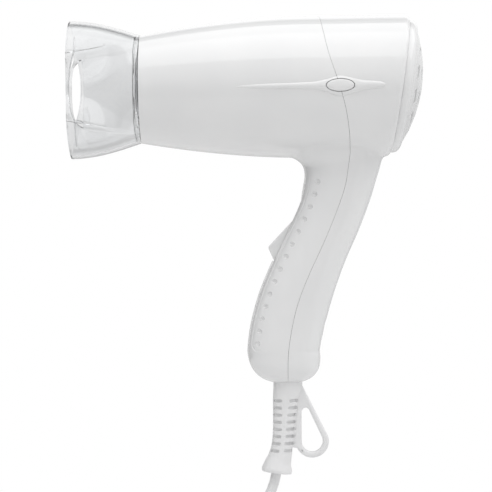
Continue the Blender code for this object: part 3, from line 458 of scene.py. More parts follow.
def through_slot(name, half_length, half_width, low, high, place):
    """A slot-shaped cutter that runs along its own X from low to high, its length along Y."""
    outline = slot_outline(half_length, half_width)
    return loft(name, [[place @ Vector((x, y, z)) for y, z in outline] for x in (low, high)])


def hermite(t):
    """Weights of a smooth curve's start, its slope there, its end and its slope there, at share t."""
    return 2 * t**3 - 3 * t**2 + 1, t**3 - 2 * t**2 + t, 3 * t**2 - 2 * t**3, t**3 - t**2


def curve_through(stations, at):
    """A smooth curve through (position, value) pairs, read at one position or many."""
    ordered = np.array(sorted(stations))
    where, value = ordered[:, 0], ordered[:, 1]
    slope = np.gradient(value, where)
    slope[1:-1] = (value[2:] - value[:-2]) / (where[2:] - where[:-2])
    held = np.clip(at, where[0], where[-1])
    index = np.clip(np.searchsorted(where, held, "right") - 1, 0, len(where) - 2)
    span = where[index + 1] - where[index]
    start, leave, end, arrive = hermite((held - where[index]) / span)
    level = start * value[index] + end * value[index + 1]
    return level + (leave * slope[index] + arrive * slope[index + 1]) * span


def read_stations(stations, at, position=0):
    """Smooth curves through each column of the stations but the position's own, read at a place."""
    columns = [column for column in range(len(stations[0])) if column != position]
    return [curve_through([(row[position], row[column]) for row in stations], at) for column in columns]


# ---------------------------------------------------------------- the housings' surface


def barrel_radius(x):
    """The barrel's radius at x: full behind the shoulder, tapering to the nose."""
    reach = np.clip((SHOULDER_X - x) / (SHOULDER_X - NOSE_X), 0, 1.1)
    return BARREL_RADIUS - (BARREL_RADIUS - NOSE_RADIUS) * reach**TAPER_POWER


def parting_x(z):
    """Where the two housings part at height z."""
    return curve_through(PARTING_LINE, z)


def handle_section(z):
    """Middle x, half length and half breadth of the straight handle at height z."""
    front, back, breadth = read_stations(HANDLE_STATIONS, z)
    return (front + back) / 2, (back - front) / 2, breadth


def handle_field(x, y, z):
    """Below zero inside the handle, and about the distance from its surface in metres."""
    straight = HANDLE_STATIONS[-1][0]
    drop = np.clip((straight - z) / (straight - HANDLE_END_Z), 0, None)
    rise = np.clip((z - HANDLE_TOP_Z) / HANDLE_TOP_CLOSING, 0, None)
    middle, half_length, half_breadth = handle_section(z)
    middle = middle + HANDLE_END_SHIFT * np.minimum(drop, 1)
    across = np.abs(x - middle) / half_length
    along = np.abs(y) / half_breadth
    section = (across**HANDLE_SQUARENESS + along**HANDLE_SQUARENESS) ** (1 / HANDLE_SQUARENESS)
    power = HANDLE_END_POWER
    closed = (section**power + drop**power + rise**power) ** (1 / power)
    return (closed - 1) * half_breadth


def housing_field(points):
    """Barrel and handle blended into one surface, where the field is zero."""
    x, y, z = points.T
    rise = z - BARREL_AXIS_Z
    behind = (x - TAIL_X) * math.cos(TAIL_TILT) - rise * math.sin(TAIL_TILT)
    lip = np.clip((behind + LIP_LENGTH) / LIP_LENGTH, 0, 0.98)
    radius = barrel_radius(x) - LIP_DROP * (1 - np.sqrt(1 - lip**2))
    barrel = np.sqrt(y**2 + rise**2) - radius
    handle = handle_field(x, y, z)
    share = np.clip(0.5 + 0.5 * (barrel - handle) / FILLET, 0, 1)
    return barrel * (1 - share) + handle * share - FILLET * share * (1 - share)


def field_slope(points):
    """The field's gradient at each point."""
    step = 2e-5
    slope = np.empty_like(points)
    for axis in range(3):
        move = np.zeros(3)
        move[axis] = step
        slope[:, axis] = (housing_field(points + move) - housing_field(points - move)) / (2 * step)
    return slope


def onto_surface(points, rounds):
    """Moves points along the gradient until they lie on the surface."""
    for _ in range(rounds):
        slope = field_slope(points)
        size = np.maximum((slope**2).sum(axis=1), 0.05)
        move = slope * (housing_field(points) / size)[:, None]
        length = np.linalg.norm(move, axis=1, keepdims=True)
        points = points - move * np.minimum(1, LONGEST_MOVE / np.maximum(length, 1e-9))
    return points


def rough_housing():
    """Barrel and handle as one rough closed mesh of even quads."""
    barrel = []
    for x in np.linspace(NOSE_X - NOSE_OVERRUN, TAIL_X + TAIL_OVERRUN, 40):
        barrel.append(circle(Vector((x, 0, BARREL_AXIS_Z)), ACROSS, UPWARD, barrel_radius(x), 72))
    straight = HANDLE_STATIONS[-1][0]
    handle = []
    for z in np.linspace(HANDLE_ROOT_Z, HANDLE_END_Z + VOXEL / 2, 60):
        middle, half_length, half_breadth = handle_section(z)
        drop = max(0.0, (straight - z) / (straight - HANDLE_END_Z))
        closing = (1 - drop**HANDLE_END_POWER) ** (1 / HANDLE_END_POWER)
        middle += HANDLE_END_SHIFT * drop
        lengthways, breadthways = Vector((half_length, 0, 0)), Vector((0, half_breadth, 0))
        handle.append(circle(Vector((middle, 0, z)), lengthways, breadthways, closing, 48))
    rough = merge("rough_housing", [loft("rough_barrel", barrel), loft("rough_handle", handle)])
    remesh = rough.modifiers.new("even", "REMESH")
    remesh.mode = "VOXEL"
    remesh.voxel_size = VOXEL
    return bake(rough)


def fine_housing():
    """Points and quads spread evenly over the housings' exact surface."""
    rough = rough_housing()
    mesh = rough.data
    points = np.empty(len(mesh.vertices) * 3)
    mesh.vertices.foreach_get("co", points)
    points = onto_surface(points.reshape(-1, 3), 6)
    edges = np.empty(len(mesh.edges) * 2, dtype=np.int64)
    mesh.edges.foreach_get("vertices", edges)
    near, far = edges.reshape(-1, 2).T
    degree = np.bincount(np.concatenate([near, far]), minlength=len(points))[:, None]
    for _ in range(8):
        total = np.zeros_like(points)
        for axis in range(3):
            total[:, axis] += np.bincount(near, weights=points[far, axis], minlength=len(points))
            total[:, axis] += np.bincount(far, weights=points[near, axis], minlength=len(points))
        points = onto_surface(points + 0.5 * (total / degree - points), 1)
    points = onto_surface(points, 3)
    faces = [tuple(face.vertices) for face in mesh.polygons]
    bpy.data.objects.remove(rough)
    return points, faces


def bend_to_parting(bm, direction, offset):
    """Shifts each point in x by the parting line's x, so that the line becomes a plane."""
    heights = np.array([vert.co.z for vert in bm.verts])
    for vert, shift in zip(bm.verts, parting_x(heights) + offset):
        vert.co.x += direction * shift


def keep_behind(bm, point, normal):
    """Removes what lies on the normal's side of a plane, and returns the edges of the cut."""
    geometry = list(bm.verts) + list(bm.edges) + list(bm.faces)
    cut = bmesh.ops.bisect_plane(
        bm, geom=geometry, dist=1e-7, plane_co=point, plane_no=normal, clear_outer=True
    )
    return [item for item in cut["geom_cut"] if isinstance(item, bmesh.types.BMEdge)]


def shell_skin(name, points, faces, side):
    """The outer skin of one housing: side -1 is in front of the parting line, +1 behind it."""
    bm = bmesh.new()
    source = make_object(f"{name}_source", points, faces)
    bm.from_mesh(source.data)
    bpy.data.objects.remove(source)
    bmesh.ops.recalc_face_normals(bm, faces=bm.faces)
    offset = side * SEAM / 2
    bend_to_parting(bm, -1, offset)
    keep_behind(bm, (0, 0, 0), (-side, 0, 0))
    bend_to_parting(bm, 1, offset)
    if side < 0:
        keep_behind(bm, (NOSE_X, 0, 0), (-1, 0, 0))
    else:
        tail_normal = (math.cos(TAIL_TILT), 0, -math.sin(TAIL_TILT))
        keep_behind(bm, ON_BARREL_TAIL, tail_normal)
    return take_out(bm, name)


def thicken(shell):
    """Gives an outer skin its wall, with the edges of the wall just broken."""
    solidify = shell.modifiers.new("wall", "SOLIDIFY")
    solidify.thickness = WALL
    solidify.offset = -1
    bake(shell)
    return round_edges(shell, 0.00012, 2, 55)


def follow_surface(obj):
    """Gives faces on the housings' surface its exact normals, so that reflections run evenly."""
    smooth(obj)
    mesh = obj.data
    points = np.empty(len(mesh.vertices) * 3)
    mesh.vertices.foreach_get("co", points)
    points = points.reshape(-1, 3)
    near = np.abs(housing_field(points)) < ON_SURFACE
    slope = field_slope(points)
    slope /= np.linalg.norm(slope, axis=1, keepdims=True)
    corners = np.empty(len(mesh.loops), dtype=np.int64)
    mesh.loops.foreach_get("vertex_index", corners)
    normals = np.zeros((len(mesh.loops), 3))
    for face in mesh.polygons:
        span = slice(face.loop_start, face.loop_start + face.loop_total)
        members = corners[span]
        if near[members].all() and np.dot(slope[members].mean(axis=0), face.normal) > 0.9:
            normals[span] = slope[members]
    mesh.normals_split_custom_set([tuple(normal) for normal in normals])
    return obj


def ellipsoid(name, centre, half_sizes, turn):
    """A ball stretched to three half sizes and turned."""
    bm = bmesh.new()
    bmesh.ops.create_uvsphere(bm, u_segments=20, v_segments=12, radius=1.0)
    place = Matrix.Translation(centre) @ turn.to_4x4() @ Matrix.Diagonal((*half_sizes, 1.0))
    bmesh.ops.transform(bm, matrix=place, verts=bm.verts)
    return take_out(bm, name)


def on_handle(x, side, z):
    """The point of the handle's surface at this x and z, and the way out of the surface there."""
    middle, half_length, half_breadth = handle_section(z)
    across = min(abs(x - middle) / half_length, 0.999)
    y = half_breadth * (1 - across**HANDLE_SQUARENESS) ** (1 / HANDLE_SQUARENESS)
    spot = onto_surface(np.array([[x, side * y, z]]), 4)
    return Vector(spot[0]), Vector(field_slope(spot)[0]).normalized()


def dimple(x, side, z, size):
    """An egg-shaped cutter that leaves a shallow dimple, its longer way across the handle."""
    spot, outward = on_handle(x, side, z)
    below, *_ = handle_section(z - HANDLE_STEP)
    above, *_ = handle_section(z + HANDLE_STEP)
    upward = Vector((above - below, 0, 2 * HANDLE_STEP))
    upward = (upward - outward * upward.dot(outward)).normalized()
    turn = Matrix((upward.cross(outward), upward, outward)).transposed()
    return ellipsoid("dimple", spot + outward * size * DIMPLE_LIFT, DIMPLE_SHAPE * size, turn)


def side_row(share):
    """Where the row of dimples down the side lies, as x and z, from its top (0) to its end (1)."""
    z = DIMPLE_TOP_Z + (DIMPLE_BOTTOM_Z - DIMPLE_TOP_Z) * share
    middle, half_length, _ = handle_section(z)
    inset = DIMPLE_TOP_INSET + (DIMPLE_BOTTOM_INSET - DIMPLE_TOP_INSET) * share
    return middle - half_length + inset, z


def dimple_cutters():
    """A row of dimples down each side, and smaller ones either side of the front's middle."""
    cutters = []
    for _, side in SIDES:
        for index in range(DIMPLE_COUNT):
            x, z = side_row(index / (DIMPLE_COUNT - 1))
            cutters.append(dimple(x, side, z, DIMPLE_SIZE))
        for z in FRONT_DIMPLE_HEIGHTS:
            middle, half_length, half_breadth = handle_section(z)
            along = FRONT_DIMPLE_Y / half_breadth
            across = (1 - along**HANDLE_SQUARENESS) ** (1 / HANDLE_SQUARENESS)
            cutters.append(dimple(middle - half_length * across, side, z, FRONT_DIMPLE_SIZE))
    return merge("dimples", cutters)


def groove_cutter(side):
    """A shallow groove in front of the side's dimples, that curls round below the last of them."""
    route = []
    last_x, last_z = side_row(1)
    for z in np.linspace(GROOVE_TOP_Z, last_z, 40):
        middle, half_length, _ = handle_section(z)
        share = (GROOVE_TOP_Z - z) / (GROOVE_TOP_Z - last_z)
        inset = GROOVE_TOP_INSET + (GROOVE_BOTTOM_INSET - GROOVE_TOP_INSET) * share
        route.append((middle - half_length + inset, z))
    reach = last_x - route[-1][0]
    for degrees in range(195, 345, 15):
        angle = math.radians(degrees)
        route.append((last_x + reach * math.cos(angle), last_z + GROOVE_CURL * reach * math.sin(angle)))
    rings = []
    for index, (x, z) in enumerate(route):
        spot, outward = on_handle(x, side, z)
        before, after = route[max(index - 1, 0)], route[min(index + 1, len(route) - 1)]
        tangent = Vector((after[0] - before[0], 0, after[1] - before[1]))
        tangent = (tangent - outward * tangent.dot(outward)).normalized()
        across = tangent.cross(outward)
        end_share = min(index, len(route) - 1 - index) / GROOVE_RUN_OUT
        lift = GROOVE_RADIUS - GROOVE_DEPTH * min(1.0, end_share)
        rings.append(circle(spot + outward * lift, across, outward, GROOVE_RADIUS, 16))
    return loft("groove", rings)


def oval_rings(side, ovals):
    """Rings round the cap's middle, from (y, half length, half height) ovals."""
    rings = []
    for y, half_length, half_height in ovals:
        centre = Vector((CAP_X, side * y, RIDGE_Z))
        rings.append(circle(centre, Vector((half_length, 0, 0)), Vector((0, 0, half_height)), 1, 48))
    return rings


def cap_pocket(side):
    """The oval hole that a cap sits in, wider than the cap by its groove."""
    half_length, half_height = CAP_HALF_LENGTH + CAP_GROOVE, CAP_HALF_HEIGHT + CAP_GROOVE
    ovals = [(y, half_length, half_height) for y in (CAP_FLOOR_Y, POCKET_TOP_Y)]
    return loft("cap_pocket", oval_rings(side, ovals))


def ridge(side):
    """The streamlined ridge along one side of the barrel, both housings' parts of it."""
    rings = []
    stations = np.linspace(RIDGE_STATIONS[0][0], RIDGE_STATIONS[-1][0], 90)
    for x in stations:
        half_height, proud = read_stations(RIDGE_STATIONS, x)
        top = math.sqrt(barrel_radius(x) ** 2 - (BARREL_AXIS_Z - RIDGE_Z) ** 2)
        ring = []
        for corner in range(28):
            angle = 2 * math.pi * corner / 28
            y = top - RIDGE_DEPTH + (RIDGE_DEPTH + proud) * math.sin(angle)
            ring.append((x, side * y, RIDGE_Z + half_height * math.cos(angle)))
        rings.append(ring)
    return loft("ridge", rings)


def ridge_part(side, keep_side):
    """The part of a ridge that belongs to one housing, cut at the parting line."""
    whole = ridge(side)
    bm = bmesh.new()
    bm.from_mesh(whole.data)
    bpy.data.objects.remove(whole)
    offset = keep_side * SEAM / 2
    bend_to_parting(bm, -1, offset)
    bmesh.ops.holes_fill(bm, edges=keep_behind(bm, (0, 0, 0), (-keep_side, 0, 0)))
    bend_to_parting(bm, 1, offset)
    bmesh.ops.recalc_face_normals(bm, faces=bm.faces)
    return combine(take_out(bm, "ridge_part"), [cap_pocket(side)])


def switch_place():
    """The switch's own axes: x along the slide, y across, z out of the handle."""
    outwards = Vector((-SLIDE_DIRECTION.z, 0, SLIDE_DIRECTION.x))
    across = outwards.cross(SLIDE_DIRECTION)
    turn = Matrix((SLIDE_DIRECTION, across, outwards)).transposed()
    return Matrix.Translation(SWITCH_ORIGIN) @ turn.to_4x4()


def track_cutters():
    """The track that the knob slides in, its upper end ramped, and the slot for its neck."""
    place = switch_place()
    low, high = KNOB_LOW - TRACK_MARGIN, KNOB_HIGH + SLIDE_TRAVEL + TRACK_MARGIN
    half_width = KNOB_HALF_WIDTH + SLOT_MARGIN
    ends = ((TRACK_FLOOR, low, high, half_width), (TRACK_TOP, low, high + TRACK_RAMP, half_width))
    track = box("track", place, ends)
    reach = NECK_HALF_LENGTH + SLOT_MARGIN
    slot_ends = [(z, -reach, reach + SLIDE_TRAVEL, NECK_HALF_WIDTH + SLOT_MARGIN) for z in (-0.0080, 0.0010)]
    return [track, box("slot", place, slot_ends)]


def counterbore():
    """The deep round hole in the rear shell that the handle screw's head lies in."""
    rings = []
    for x in (HANDLE_SCREW_X - 0.0030, 0.0200):
        centre = Vector((x, 0, HANDLE_SCREW_Z))
        rings.append(circle(centre, ACROSS, UPWARD, COUNTERBORE_RADIUS, 32))
    return loft("counterbore", rings)


def build_housings(white):
    """Front and rear shells with all that is cut into them, and their parts of the ridges."""
    points, faces = fine_housing()
    front = thicken(shell_skin("front_shell", points, faces, -1))
    grooves = [groove_cutter(side) for _, side in SIDES]
    combine(front, [*grooves, dimple_cutters(), cap_pocket(-1), cap_pocket(1), *track_cutters()])
    rear = thicken(shell_skin("rear_shell", points, faces, 1))
    combine(rear, [counterbore(), cap_pocket(-1), cap_pocket(1)])
    for shell, keep_side, node in ((front, -1, "front_housing"), (rear, 1, "rear_housing")):
        follow_surface(shell)
        settle(shell, white, "dryer", "white_gloss", node)
        for label, side in SIDES:
            part = smooth(ridge_part(side, keep_side), 50)
            part.name = f"{'front' if keep_side < 0 else 'rear'}_ridge_{label}"
            settle(part, white, "dryer", "white_gloss")


# ---------------------------------------------------------------- trim and nozzle


def build_side_caps(white):
    """The oval caps on both sides, their edges rounded and their tops slightly crowned."""
    ovals = [(CAP_FLOOR_Y + 0.0016, CAP_HALF_LENGTH, CAP_HALF_HEIGHT)]
    for degrees in (0, 25, 50, 75):
        inset = CAP_EDGE * (1 - math.cos(math.radians(degrees)))
        y = CAP_TOP_Y - CAP_EDGE + 0.0005 * math.sin(math.radians(degrees))
        ovals.append((y, CAP_HALF_LENGTH - inset, CAP_HALF_HEIGHT - inset))
    ovals.append((CAP_TOP_Y - 0.00005, CAP_HALF_LENGTH * 0.6, CAP_HALF_HEIGHT * 0.5))
    ovals.append((CAP_TOP_Y, CAP_HALF_LENGTH * 0.2, CAP_HALF_HEIGHT * 0.15))
    for label, side in SIDES:
        cap = smooth(loft(f"side_button_{label}", oval_rings(side, ovals)), 50)
        settle(cap, white, "dryer", "white_gloss", f"side_cap_{label}")


def build_rear_ring(white):
    profile = [(-0.0040, 0.0318), (-0.0040, 0.0334), (0.00005, 0.0334), (0.00005, 0.0361)]
    for degrees in range(0, 91, 15):
        angle = math.radians(degrees)
        profile.append((0.0012 + 0.0041 * math.sin(angle), 0.0313 + 0.0048 * math.cos(angle)))
    profile += [(0.0032, 0.0313), (0.0032, 0.0298), (0.0017, 0.0298), (0.0005, 0.0318)]
    ring = turned("tail_ring", profile, 144, TAIL_PLACE)
    ring = smooth(round_edges(ring, 0.00015, 2, 60), 40)
    settle(ring, white, "dryer", "white_gloss", "rear_ring")


def build_inlet_grille(white):
    """A dome with three rings of round-ended slots about a middle hole."""
    centre = DOME_APEX - DOME_RADIUS
    outside = np.linspace(0.0003, DOME_RIM_RADIUS, 26)
    profile = [(centre + math.sqrt(DOME_RADIUS**2 - r**2), r) for r in outside]
    profile += [(0.0036, DOME_RIM_RADIUS), (0.0036, 0.0292)]
    hollow = DOME_RADIUS - DOME_WALL
    profile += [(centre + math.sqrt(hollow**2 - r**2), r) for r in np.linspace(0.0290, 0.0003, 20)]
    dome = turned("inlet_dome", profile, 96, TAIL_PLACE)
    cutters = []
    for radius, count, half_length in SLOT_RINGS:
        for index in range(count):
            angle = 2 * math.pi * (index + 0.5) / count
            place = TAIL_PLACE @ Matrix.Rotation(angle, 4, "X") @ Matrix.Translation((0, 0, radius))
            cutters.append(through_slot("dome_slot", half_length, DOME_SLOT_HALF_WIDTH, 0.0, 0.0200, place))
    rings = [circle(Vector((x, 0, 0)), ACROSS, UPWARD, DOME_HOLE_RADIUS, 24) for x in (0.0, 0.0200)]
    cutters.append(loft("dome_middle", [[TAIL_PLACE @ point for point in ring] for ring in rings]))
    combine(dome, [merge("dome_slots", cutters)])
    dome = smooth(round_edges(dome, 0.00018, 2, 50), 40)
    settle(dome, white, "dryer", "white_gloss", "inlet_grille")


def nozzle_size(share, inset):
    """Half height, half depth, crease height and scoop of the horn, at a share of its length."""
    open_up = math.sin(min(share, 1.0) * math.pi / 2)
    half_height = NOZZLE_BACK_RADIUS + (NOZZLE_MOUTH_HALF_HEIGHT - NOZZLE_BACK_RADIUS) * open_up - inset
    half_depth = NOZZLE_BACK_RADIUS + (NOZZLE_MOUTH_HALF_DEPTH - NOZZLE_BACK_RADIUS) * open_up - inset
    crease = CREASE_BACK + (CREASE_MOUTH - CREASE_BACK) * share
    return half_height, half_depth, crease, NOZZLE_SCOOP * max(share, 0.0) ** 0.8


def nozzle_depth(share, height, inset=0.0):
    """How far the horn's wall stands from its middle plane at a height above its axis."""
    half_height, half_depth, crease, scoop = nozzle_size(share, inset)
    depth = half_depth * math.sqrt(max(0.0, 1 - (height / half_height) ** 2))
    within = 1 - (height / crease) ** 2
    return depth - scoop * (within + math.hypot(within, CREASE_SOFTNESS)) / 2


def nozzle_bow(share, height):
    """How far the mouth bows forward, most of it where the sides are scooped in."""
    half_height, _, crease, _ = nozzle_size(share, 0.0)
    whole = NOZZLE_RIM_BOW * max(0.0, 1 - (height / half_height) ** 4)
    scooped = (NOZZLE_ARC - NOZZLE_RIM_BOW) * max(0.0, 1 - (height / crease) ** 2)
    return (whole + scooped) * max(share, 0.0) ** 2


def nozzle_ring(share, inset):
    """One ring of the nozzle's horn; points sit on the creases where the scoops begin."""
    x = NOZZLE_BACK_X + (NOZZLE_MOUTH_X - NOZZLE_BACK_X) * share
    half_height, _, crease, _ = nozzle_size(share, inset)
    crease_angle = math.asin(min(crease / half_height, 0.98))
    low = np.linspace(0, crease_angle, 25)
    high = np.linspace(crease_angle, math.pi / 2, 17)[1:]
    quarter = np.concatenate([low, high])
    half = np.concatenate([quarter, math.pi - quarter[-2::-1]])
    turns = np.concatenate([half, math.pi + half[1:-1]])
    ring = []
    for angle in turns:
        height = half_height * math.sin(angle)
        depth = math.copysign(nozzle_depth(share, height, inset), math.cos(angle))
        ring.append(Vector((x - nozzle_bow(share, height), depth, BARREL_AXIS_Z + height)))
    return ring


def round_ring(x, radius, like):
    """A circle of points at x, in line with the points of another ring."""
    ring = []
    for point in like:
        out = Vector((0, point.y, point.z - BARREL_AXIS_Z)).normalized() * radius
        ring.append(Vector((x, out.y, BARREL_AXIS_Z + out.z)))
    return ring


def window_left(height, squareness=2):
    """Where the window begins behind the mouth's rim."""
    share = min(1.0, abs(height) / WINDOW_HALF_HEIGHT) ** squareness
    return WINDOW_FRONT_X + (WINDOW_CORNER_X - WINDOW_FRONT_X) * share


def window_right(height):
    """Where the window ends, bowed backwards in the middle."""
    share = min(1.0, abs(height) / WINDOW_HALF_HEIGHT)
    return WINDOW_CORNER_X + WINDOW_SLIT / 2 + WINDOW_BACK_BOW * (1 - share**2)


def nozzle_windows():
    """The lens-shaped openings in both scooped sides, just behind the mouth's rim."""
    steps = 24
    heights = [WINDOW_HALF_HEIGHT * (2 * step / steps - 1) for step in range(steps + 1)]
    windows = []
    for side, squareness in ((-1, 2), (1, 8)):
        outline = [(window_left(height, squareness) - WINDOW_SLIT / 2, height) for height in heights]
        outline += [(window_right(height), height) for height in reversed(heights)]
        rings = [[(x, side * y, BARREL_AXIS_Z + z) for x, z in outline] for y in (0.0, 0.045)]
        windows.append(loft("nozzle_window", rings))
    return windows


def rod(name, route, radius):
    """A thin round rod along a route."""
    rings = []
    for index, point in enumerate(route):
        tangent = (route[min(index + 1, len(route) - 1)] - route[max(index - 1, 0)]).normalized()
        across = tangent.orthogonal().normalized()
        if rings:
            across = (last_across - tangent * last_across.dot(tangent)).normalized()
        last_across = across
        rings.append(circle(point, across, across.cross(tangent), radius, 12))
    return loft(name, rings)


def rim_bead():
    """A fine bead down the back of the mouth's rim, along the window and past its corners."""
    route = []
    for height in np.linspace(BEAD_LOW, BEAD_HIGH, 60):
        x = window_left(height) - BEAD_SET_BACK
        share = (x + nozzle_bow(1.0, height) - NOZZLE_BACK_X) / (NOZZLE_MOUTH_X - NOZZLE_BACK_X)
        depth = nozzle_depth(share, height) - BEAD_SINK
        route.append(Vector((x, -depth, BARREL_AXIS_Z + height)))
    return rod("rim_bead", route, NOZZLE_BEAD)


def inner_rib(up):
    """A fine rib along the middle of the horn's top or bottom, on the inside."""
    route = []
    for share in np.linspace(0.06, 0.985, 24):
        half_height, *_ = nozzle_size(share, NOZZLE_WALL)
        x = NOZZLE_BACK_X + (NOZZLE_MOUTH_X - NOZZLE_BACK_X) * share
        route.append(Vector((x, 0, BARREL_AXIS_Z + up * half_height)))
    return rod("inner_rib", route, NOZZLE_BEAD)


def seat_profile():
    """The section of the rounded step inside the horn's back end."""
    turns = [2 * math.pi * turn / 12 for turn in range(12)]
    return [(NOZZLE_SEAT_X + 0.0005 * math.cos(a), NOZZLE_SEAT_RADIUS + 0.0006 * math.sin(a)) for a in turns]


def build_nozzle(clear):
    """The horn and its sleeve as one clear wall, with its windows, beads and ribs."""
    first = nozzle_ring(0, 0)
    rings = [round_ring(NOZZLE_SLEEVE_END_X, NOZZLE_SLEEVE_RADIUS, first)]
    rings.append(round_ring(NOZZLE_BACK_X, NOZZLE_SLEEVE_RADIUS, first))
    rings += [nozzle_ring(share, 0) for share in np.linspace(0, 1, 30)]
    rings += [nozzle_ring(share, NOZZLE_WALL) for share in np.linspace(1, 0.01, 27)]
    inner_x = rings[-1][0].x
    rings.append(round_ring(inner_x, NOZZLE_BORE_RADIUS, first))
    rings.append(round_ring(NOZZLE_SLEEVE_END_X, NOZZLE_BORE_RADIUS, first))
    horn = closed_sweep("clear_nozzle", rings)
    combine(horn, nozzle_windows())
    horn = round_edges(horn, 0.00025, 2, 75)
    seat = turned("seat_bead", seat_profile(), 96, Matrix.Translation(ON_BARREL_AXIS))
    horn = merge("clear_nozzle", [horn, seat, rim_bead(), inner_rib(-1), inner_rib(1)])
    smooth(horn, 35)
    settle(horn, clear, "nozzle", "clear_plastic", "nozzle")


def build_nozzle_ring(steel):
    profile = ((-0.0900, 0.0255), (-0.0900, 0.0267), (-0.0860, 0.0267), (-0.0860, 0.0255))
    ring = turned("snap_ring", profile, 96, Matrix.Translation(ON_BARREL_AXIS))
    ring = smooth(round_edges(ring, 0.0002))
    settle(ring, steel, "nozzle_ring", "steel", "nozzle_ring")


# ---------------------------------------------------------------- switch


def build_switch(white):
    """The wedge-shaped knob, softly rounded, on its neck."""
    outline = (
        (KNOB_HIGH, -0.0011),
        (KNOB_HIGH, -0.0004),
        (0.0040, 0.0020),
        (-0.0040, 0.0044),
        (-0.0056, 0.00495),
        (-0.0065, 0.0048),
        (-0.0075, 0.0038),
        (KNOB_LOW, -0.0005),
        (KNOB_LOW, -0.0011),
    )
    place = switch_place()
    knob = prism("switch_button", outline, KNOB_HALF_WIDTH, place)
    knob = round_edges(knob, 0.0005, 3, 25)
    neck_ends = [(z, -NECK_HALF_LENGTH, NECK_HALF_LENGTH, NECK_HALF_WIDTH) for z in (-0.0062, -0.0008)]
    combine(knob, [box("button_neck", place, neck_ends)], "UNION")
    smooth(knob, 30)
    settle(knob, white, "switch", "white_gloss", "switch_knob")


# ---------------------------------------------------------------- strain relief


def relief_at(z):
    """The strain relief's centre x and radius at height z."""
    return read_stations(RELIEF_STATIONS, z, position=1)


def relief_sleeve():
    """The sleeve's round body, each section square to its bent centre line."""
    rings = []
    top, bottom = RELIEF_STATIONS[0][1] + 0.0014, RELIEF_STATIONS[-1][1]
    for z in np.linspace(top, bottom, 70):
        x, radius = relief_at(z)
        lower_x, _ = relief_at(z - 0.0008)
        upper_x, _ = relief_at(z + 0.0008)
        tangent = Vector((lower_x - upper_x, 0, -0.0016)).normalized()
        rings.append(circle(Vector((x, 0, z)), Vector((-tangent.z, 0, tangent.x)), ACROSS, radius, 48))
    return loft("relief_sleeve", rings)


def relief_slots():
    """Four columns of short slots down the sleeve."""
    half_length, half_width = RELIEF_SLOT_HALF_LENGTH, RELIEF_SLOT_HALF_WIDTH
    cutters = []
    for z in np.linspace(RELIEF_SLOTS_TOP, RELIEF_SLOTS_BOTTOM, RELIEF_SLOT_ROWS):
        x, radius = relief_at(z)
        low, high = radius - RELIEF_SLOT_DEPTH, radius + 0.003
        for column in range(4):
            place = Matrix.Translation((x, 0, z)) @ Matrix.Rotation(math.radians(45 + 90 * column), 4, "Z")
            cutters.append(through_slot("relief_slot", half_length, half_width, low, high, place))
    return merge("relief_slots", cutters)


def loop_arc(radius, first, last, steps):
    """Points on an arc about the loop's eye, between two angles in degrees."""
    arc = []
    for step in range(steps + 1):
        angle = math.radians(first + (last - first) * step / steps)
        arc.append((LOOP_EYE.x + radius * math.cos(angle), LOOP_EYE.z + radius * math.sin(angle)))
    return arc


def hanging_loop():
    """A moulded loop: a round eye, two long sides, and a web against the sleeve."""
    outline = [(-0.0150, -0.0735), (-0.0070, -0.0722)]
    outline += loop_arc(LOOP_OUTER_RADIUS, 15, -155, 28)
    outline += [(-0.0125, -0.1062), (-0.0175, -0.1050)]
    loop = prism("hanging_loop", outline, LOOP_THICKNESS / 2)
    hole = [(-0.0073, -0.0868), (-0.0062, -0.0853), (-0.0046, -0.0849), (-0.0034, -0.0858)]
    hole += loop_arc(LOOP_HOLE_RADIUS, 18, -180, 32)
    combine(loop, [prism("loop_hole", hole, 0.01)])
    return round_edges(loop, 0.0013, 4, 60)


def build_strain_relief(rubber):
    relief = combine(relief_sleeve(), [hanging_loop()], "UNION")
    combine(relief, [relief_slots()])
    relief.name = "cord_sleeve"
    smooth(round_edges(relief, 0.00015, 2, 60), 40)
    settle(relief, rubber, "dryer", "soft_white", "strain_relief")


# ---------------------------------------------------------------- cord, tie and plug


def coil_point(degrees):
    """The cord's centre in the coil, which moves from lane to lane as it turns."""
    changes = 0.0
    for change in range(len(COIL_LANES) - 1):
        start = COIL_FIRST_CHANGE_DEGREES + COIL_CHANGE_EVERY_DEGREES * change
        t = min(max((degrees - start) / COIL_CHANGE_DEGREES, 0.0), 1.0)
        changes += t * t * (3 - 2 * t)
    lane = min(int(changes), len(COIL_LANES) - 2)
    share = changes - lane
    near, far = COIL_LANES[lane], COIL_LANES[lane + 1]
    out = near[0] + (far[0] - near[0]) * share
    across = near[1] + (far[1] - near[1]) * share
    radius = COIL_MIDDLE_RADIUS + out * COIL_PITCH
    angle = math.radians(degrees)
    return COIL_CENTRE + Vector((radius * math.cos(angle), across * COIL_PITCH, radius * math.sin(angle)))


def cord_route():
    """Out of the strain relief, round the coil, and straight down to the plug."""
    route = [Vector(point) for point in CORD_LEAD]
    step = 12
    degrees = list(range(COIL_START_DEGREES, COIL_START_DEGREES + COIL_TOTAL_DEGREES, step))
    route += [coil_point(angle) for angle in degrees]
    end = coil_point(COIL_START_DEGREES + COIL_TOTAL_DEGREES)
    drops = 10
    route += [end + Vector((0, 0, (PLUG_TOP_Z - end.z) * i / drops)) for i in range(drops + 1)]
    return route


def smooth_path(route, steps):
    """Points on a smooth curve through the route."""
    path = []
    for i in range(len(route) - 1):
        start, end = route[i], route[i + 1]
        before, after = route[max(i - 1, 0)], route[min(i + 2, len(route) - 1)]
        for step in range(steps):
            stay, leave, reach, arrive = hermite(step / steps)
            bend = leave * (end - before) / 2 + arrive * (after - start) / 2
            path.append(stay * start + reach * end + bend)
    return path + [route[-1]]


def path_length(path):
    return sum((far - near).length for near, far in zip(path, path[1:]))


